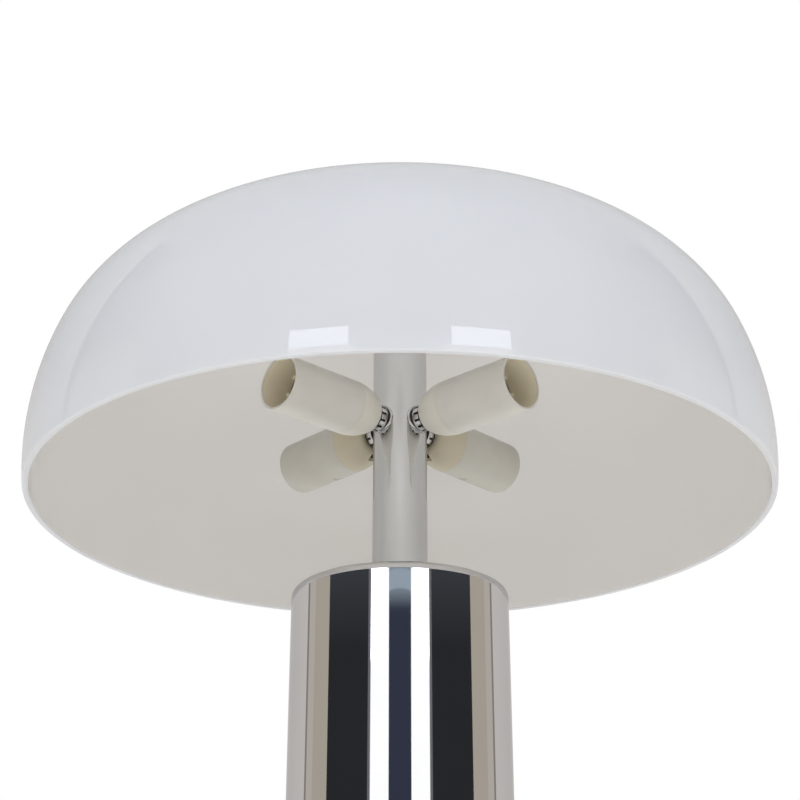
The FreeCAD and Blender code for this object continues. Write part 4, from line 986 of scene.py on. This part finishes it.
# %% Floor
def stage_object(name, grid, material, hidden_from=()):
    """A stage mesh in metres, hidden from the kinds of ray that are named."""
    corners, quads, _ = corners_and_quads([patch(grid)])
    mesh = bpy.data.meshes.new(name)
    mesh.from_pydata(corners.tolist(), [], quads.tolist())
    mesh.materials.append(material)
    thing = bpy.data.objects.new(name, mesh)
    bpy.context.scene.collection.objects.link(thing)
    for ray in hidden_from:
        setattr(thing, f"visible_{ray}", False)
    thing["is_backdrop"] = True


FLOOR_COLOUR, FLOOR_SHADE, FLOOR_REACH, FLOOR_LEVEL = (0.86, 0.83, 0.79), 0.97, 150.0, -0.0002
floor_finish = finish_of("pale_floor", (FLOOR_COLOUR, tuple(FLOOR_SHADE * c for c in FLOOR_COLOUR)),
                         (0.75, 0.85), 3.0)
nodes, links = floor_finish.node_tree.nodes, floor_finish.node_tree.links
facing, clear = nodes.new("ShaderNodeNewGeometry"), nodes.new("ShaderNodeBsdfTransparent")
one_sided = nodes.new("ShaderNodeMixShader")
links.new(facing.outputs["Backfacing"], one_sided.inputs["Fac"])
links.new(nodes["Principled BSDF"].outputs["BSDF"], one_sided.inputs[1])
links.new(clear.outputs["BSDF"], one_sided.inputs[2])
links.new(one_sided.outputs["Shader"], nodes["Material Output"].inputs["Surface"])
line = np.linspace(-FLOOR_REACH, FLOOR_REACH, 3)
floor_grid = np.stack([*np.meshgrid(line, line, indexing="ij"), np.full((3, 3), FLOOR_LEVEL)], axis=-1)
stage_object("floor", floor_grid, floor_finish)
print("floor of", 2 * FLOOR_REACH, "m, clear from below")

# %% [markdown]
# Chrome has hardly any colour of its own: it shows the room. In a studio that room is made of cards, so a
# ring of them stands far around the lamp, seen by reflections alone: a dark one behind the camera, two
# bright ones beside it, dark ones further round, then buff and grey ones towards the back. The tube's
# strips are the reflections of these cards. A picture of a room wrapped round the scene could do this
# too, but each card here can be moved by itself.

# %% Light of a card
CARD_FOOT, CARD_TOP, CARD_DISTANCE = -0.2, 3.0, 2.2


def glow(name, stops, axis="Z", start=0.0, end=CARD_TOP):
    """A card's light: colours given at places along an axis, blended between them."""
    material = bpy.data.materials.new(name)
    material.use_nodes = True
    nodes, links = material.node_tree.nodes, material.node_tree.links
    nodes.remove(nodes["Principled BSDF"])
    place = nodes.new("ShaderNodeTexCoord")
    split = nodes.new("ShaderNodeSeparateXYZ")
    level = nodes.new("ShaderNodeMapRange")
    level.inputs["From Min"].default_value = start
    level.inputs["From Max"].default_value = end
    ramp = nodes.new("ShaderNodeValToRGB")
    light = nodes.new("ShaderNodeEmission")
    strength = max(max(colour) for _, colour in stops)
    light.inputs["Strength"].default_value = strength
    while len(ramp.color_ramp.elements) < len(stops):
        ramp.color_ramp.elements.new(0.5)
    for element, (place_on_axis, colour) in zip(ramp.color_ramp.elements, stops):
        element.position = (place_on_axis - start) / (end - start)
        element.color = (*(c / strength for c in colour), 1.0)
    links.new(place.outputs["Object"], split.inputs["Vector"])
    links.new(split.outputs[axis], level.inputs["Value"])
    links.new(level.outputs["Result"], ramp.inputs["Fac"])
    links.new(ramp.outputs["Color"], light.inputs["Color"])
    links.new(light.outputs["Emission"], nodes["Material Output"].inputs["Surface"])
    return material


print("most cards reach from", CARD_FOOT, "to", CARD_TOP, "m and stand", CARD_DISTANCE, "m away")

# %% [markdown]
# The strips on the tube are the same left and right, so each card has a twin on the other side. Flat
# cards would do, but parts of one cylinder meet edge to edge.
# They are hidden from the rays that would show them to the camera or let them light the lamp.

# %% A pair of cards
CARD_COLUMNS = 12
REFLECTIONS_ALONE = ("camera", "diffuse", "shadow", "transmission")


def card(name, start, end, stops, low=CARD_FOOT, high=CARD_TOP, distance=CARD_DISTANCE):
    """Two mirrored cards, parts of a cylinder between two bearings from the camera's side, in degrees."""
    material = glow(f"{name}_light", stops)
    heights = np.linspace(low, high, 3)
    for side in (-1, 1):
        bearing = np.radians(np.linspace(start, end, CARD_COLUMNS)) * side
        grid = np.stack([np.outer(distance * np.sin(bearing), np.ones(3)),
                         np.outer(-distance * np.cos(bearing), np.ones(3)),
                         np.tile(heights, (CARD_COLUMNS, 1))], axis=-1)
        label = "left" if side < 0 else "right"
        stage_object(f"{name}_card_{label}", grid, material, REFLECTIONS_ALONE)


def even(colour):
    """One colour over the whole card."""
    return [(0.0, colour), (1.0, colour)]


def fading(colour, above):
    """A colour up to the height of the tube's reflections, then another above it."""
    return [(0.0, colour), (1.05, colour), (1.5, above)]


print("a card shows in reflections alone and is hidden from", ", ".join(REFLECTIONS_ALONE), "rays")

# %% [markdown]
# The bearings of the cards were read off the strips on the tube: a mirror that is turned by an angle
# throws its picture twice as far round. Each card has its colour, some change with the height, and the
# sharp windows in the dome are a brighter pair in front of the bright cards. The whole could be one
# painted cylinder, but strips with names are easier to follow.

# %% The ring of cards
NAVY, SLATE, TEAL = (0.042, 0.049, 0.081), (0.0285, 0.030, 0.033), (0.41, 0.50, 0.58)
WHITE, BUFF, BROWN, GREY = (1.5, 1.5, 1.5), (0.54, 0.485, 0.41), (0.335, 0.285, 0.235), (0.72, 0.685, 0.66)
HEM, DUSK, PEWTER, INK = (0.60, 0.56, 0.51), (0.54, 0.525, 0.515), (0.19, 0.19, 0.21), (0.056, 0.062, 0.072)
WINDOW_LIGHT, WINDOW_FOOT, WINDOW_TOP, WINDOW_DISTANCE = (4.2, 4.3, 4.9), 0.78, 1.035, 2.15
card("middle", 0, 11.1, [(0.5, NAVY), (0.89, NAVY), (0.95, TEAL), (0.98, TEAL), (1.0, SLATE)])
card("bright", 11.1, 29.4, even(WHITE), high=WINDOW_TOP)
card("above", 11.1, 29.4, even(SLATE), low=WINDOW_TOP)
card("edge", 29.4, 32.1, even(PEWTER))
card("dark", 32.1, 77.2, [(0.5, SLATE), (0.82, SLATE), (0.98, INK)])
card("buff", 77.2, 97.5, fading(BUFF, SLATE))
card("hem", 97.5, 107.2, fading(HEM, SLATE))
card("line", 107.2, 110.4, fading(BROWN, SLATE))
card("back", 110.4, 180.0, fading(GREY, DUSK))
card("window", 13.4, 29.4, even(WINDOW_LIGHT), WINDOW_FOOT, WINDOW_TOP, WINDOW_DISTANCE)
span = np.linspace(-CARD_DISTANCE, CARD_DISTANCE, 3)
ceiling_grid = np.stack([*np.meshgrid(span, span, indexing="ij"), np.full((3, 3), CARD_TOP)], axis=-1)
ceiling_light = glow("ceiling_light", [(-0.4, SLATE), (1.4, DUSK)], "Y", -CARD_DISTANCE, CARD_DISTANCE)
stage_object("ceiling_card", ceiling_grid, ceiling_light, REFLECTIONS_ALONE)

# %% [markdown]
# A flag is a small dark card that a photographer holds close to the object. This one hangs in front of
# the dome and trims the bright cards to two neat windows in its reflection. The cards themselves could be
# cut instead, but they also make the white strips on the tube, which have to stay.

# %% Flag
FLAG_DISTANCE, FLAG_HALF, FLAG_LOW, FLAG_HIGH = 0.39, 0.0718, 0.362, 0.45
across, up = np.meshgrid(np.linspace(-FLAG_HALF, FLAG_HALF, 3), np.linspace(FLAG_LOW, FLAG_HIGH, 3),
                         indexing="ij")
flag_grid = np.stack([across, np.full((3, 3), -FLAG_DISTANCE), up], axis=-1)
flag_light = glow("flag_light", [(0.378, TEAL), (0.386, SLATE)])
stage_object("flag_card", flag_grid, flag_light, REFLECTIONS_ALONE)
print("flag", round(2 * FLAG_HALF, 4), "m wide at", FLAG_DISTANCE, "m")

# %% [markdown]
# The picture has a plain white ground, so the world is white to the camera and in reflections. A white
# backdrop would do the same and throw its light on the lamp as well. For the light itself the world is a
# little under full strength.

# %% World
AMBIENT = 0.74
world = bpy.data.worlds.new("studio")
bpy.context.scene.world = world
world.use_nodes = True
nodes, links = world.node_tree.nodes, world.node_tree.links
daylight = nodes["Background"]
daylight.inputs["Color"].default_value = (0.985, 0.995, 1.0, 1.0)
daylight.inputs["Strength"].default_value = AMBIENT
ground = nodes.new("ShaderNodeBackground")
ground.inputs["Color"].default_value = (1.0, 1.0, 1.0, 1.0)
ground.inputs["Strength"].default_value = 1.0
ray = nodes.new("ShaderNodeLightPath")
seen = ray.outputs["Is Camera Ray"]
for kind in ("Is Glossy Ray", "Is Transmission Ray"):
    either = nodes.new("ShaderNodeMath")
    either.operation = "MAXIMUM"
    links.new(seen, either.inputs[0])
    links.new(ray.outputs[kind], either.inputs[1])
    seen = either.outputs["Value"]
choice = nodes.new("ShaderNodeMixShader")
links.new(seen, choice.inputs["Fac"])
links.new(daylight.outputs["Background"], choice.inputs[1])
links.new(ground.outputs["Background"], choice.inputs[2])
links.new(choice.outputs["Shader"], nodes["World Output"].inputs["Surface"])
bpy.context.scene.view_settings.view_transform = "Standard"
print("world at", AMBIENT, "for the light and at full white to the eye")

# %% [markdown]
# Two large soft lamps stand in front, left and right. The table is a light table, whose warm glow fills
# the inside of the dome. Two low lamps behind have grids that keep their beams narrow: these pass under
# the rim and cross on the inside of the dome's front, which the stem reflects. Bulbs in the lampholders
# would light the dome too, but the real ones were empty.

# %% Lamps
LAMP_POWER, TABLE_POWER, BACK_POWER = 3.1, 1.37, 0.036
LAMP_SIZE, TABLE_SIZE, BACK_SIZE = (0.7, 0.7), (1.6, 1.6), (0.2, 0.15)
BACK_SPREAD, TABLE_COLOUR = 34, (1.0, 0.98, 0.95)


def soft_lamp(name, shape, size, power, place, turn, colour=(1.0, 1.0, 1.0), spread=180):
    """An area lamp, placed in metres and turned in degrees, that doesn't show in what it lights."""
    light = bpy.data.lights.new(name, "AREA")
    light.shape = shape
    light.size, light.size_y = size
    light.energy, light.color, light.spread = power, colour, np.radians(spread)
    lamp = bpy.data.objects.new(name, light)
    lamp.location, lamp.rotation_euler = place, np.radians(turn)
    lamp.visible_glossy = lamp.visible_camera = False
    bpy.context.scene.collection.objects.link(lamp)


for side in (-1, 1):
    soft_lamp(f"soft_lamp_{side}", "RECTANGLE", LAMP_SIZE, LAMP_POWER,
              place=(0.5 * side, -1.35, 0.9), turn=(70, 0, 20.3 * side))
    soft_lamp(f"low_back_lamp_{side}", "RECTANGLE", BACK_SIZE, BACK_POWER,
              place=(0.25 * side, 0.45, 0.065), turn=(116.6, 0, 180 - 17 * side), spread=BACK_SPREAD)
soft_lamp("light_table", "ELLIPSE", TABLE_SIZE, TABLE_POWER,
          place=(0, -0.15, 0.004), turn=(180, 0, 0), colour=TABLE_COLOUR)
print("lamps of", LAMP_POWER, "W in front,", TABLE_POWER, "W below and", BACK_POWER, "W behind, in pairs")

# %% [markdown]
# The camera stands low in front of the lamp and looks up into the dome. It could be set by eye, but its
# place, tilt and lens were fitted to the widths of the tube, stem and rim, so the model lies in the frame
# as the real lamp did.

# %% Camera
LENS, SENSOR, CAMERA_PLACE, CAMERA_TILT = 72.93, 36.0, (0.0, -0.77784, 0.03012), 24.003
view = bpy.data.cameras.new("camera")
view.lens, view.sensor_width = LENS, SENSOR
camera = bpy.data.objects.new("camera", view)
camera.location = CAMERA_PLACE
camera.rotation_euler = (np.radians(90 + CAMERA_TILT), 0.0, 0.0)
bpy.context.scene.collection.objects.link(camera)
bpy.context.scene.camera = camera
print("camera at", CAMERA_PLACE, "m with a lens of", LENS, "mm")

# %% [markdown]
# The dressed lamp has to keep the CAD model's size, so the box of what is shown is printed in metres.

# %% Sizes and the end
low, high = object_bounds()
print("visual box in metres:", [round(v, 4) for v in low], [round(v, 4) for v in high])
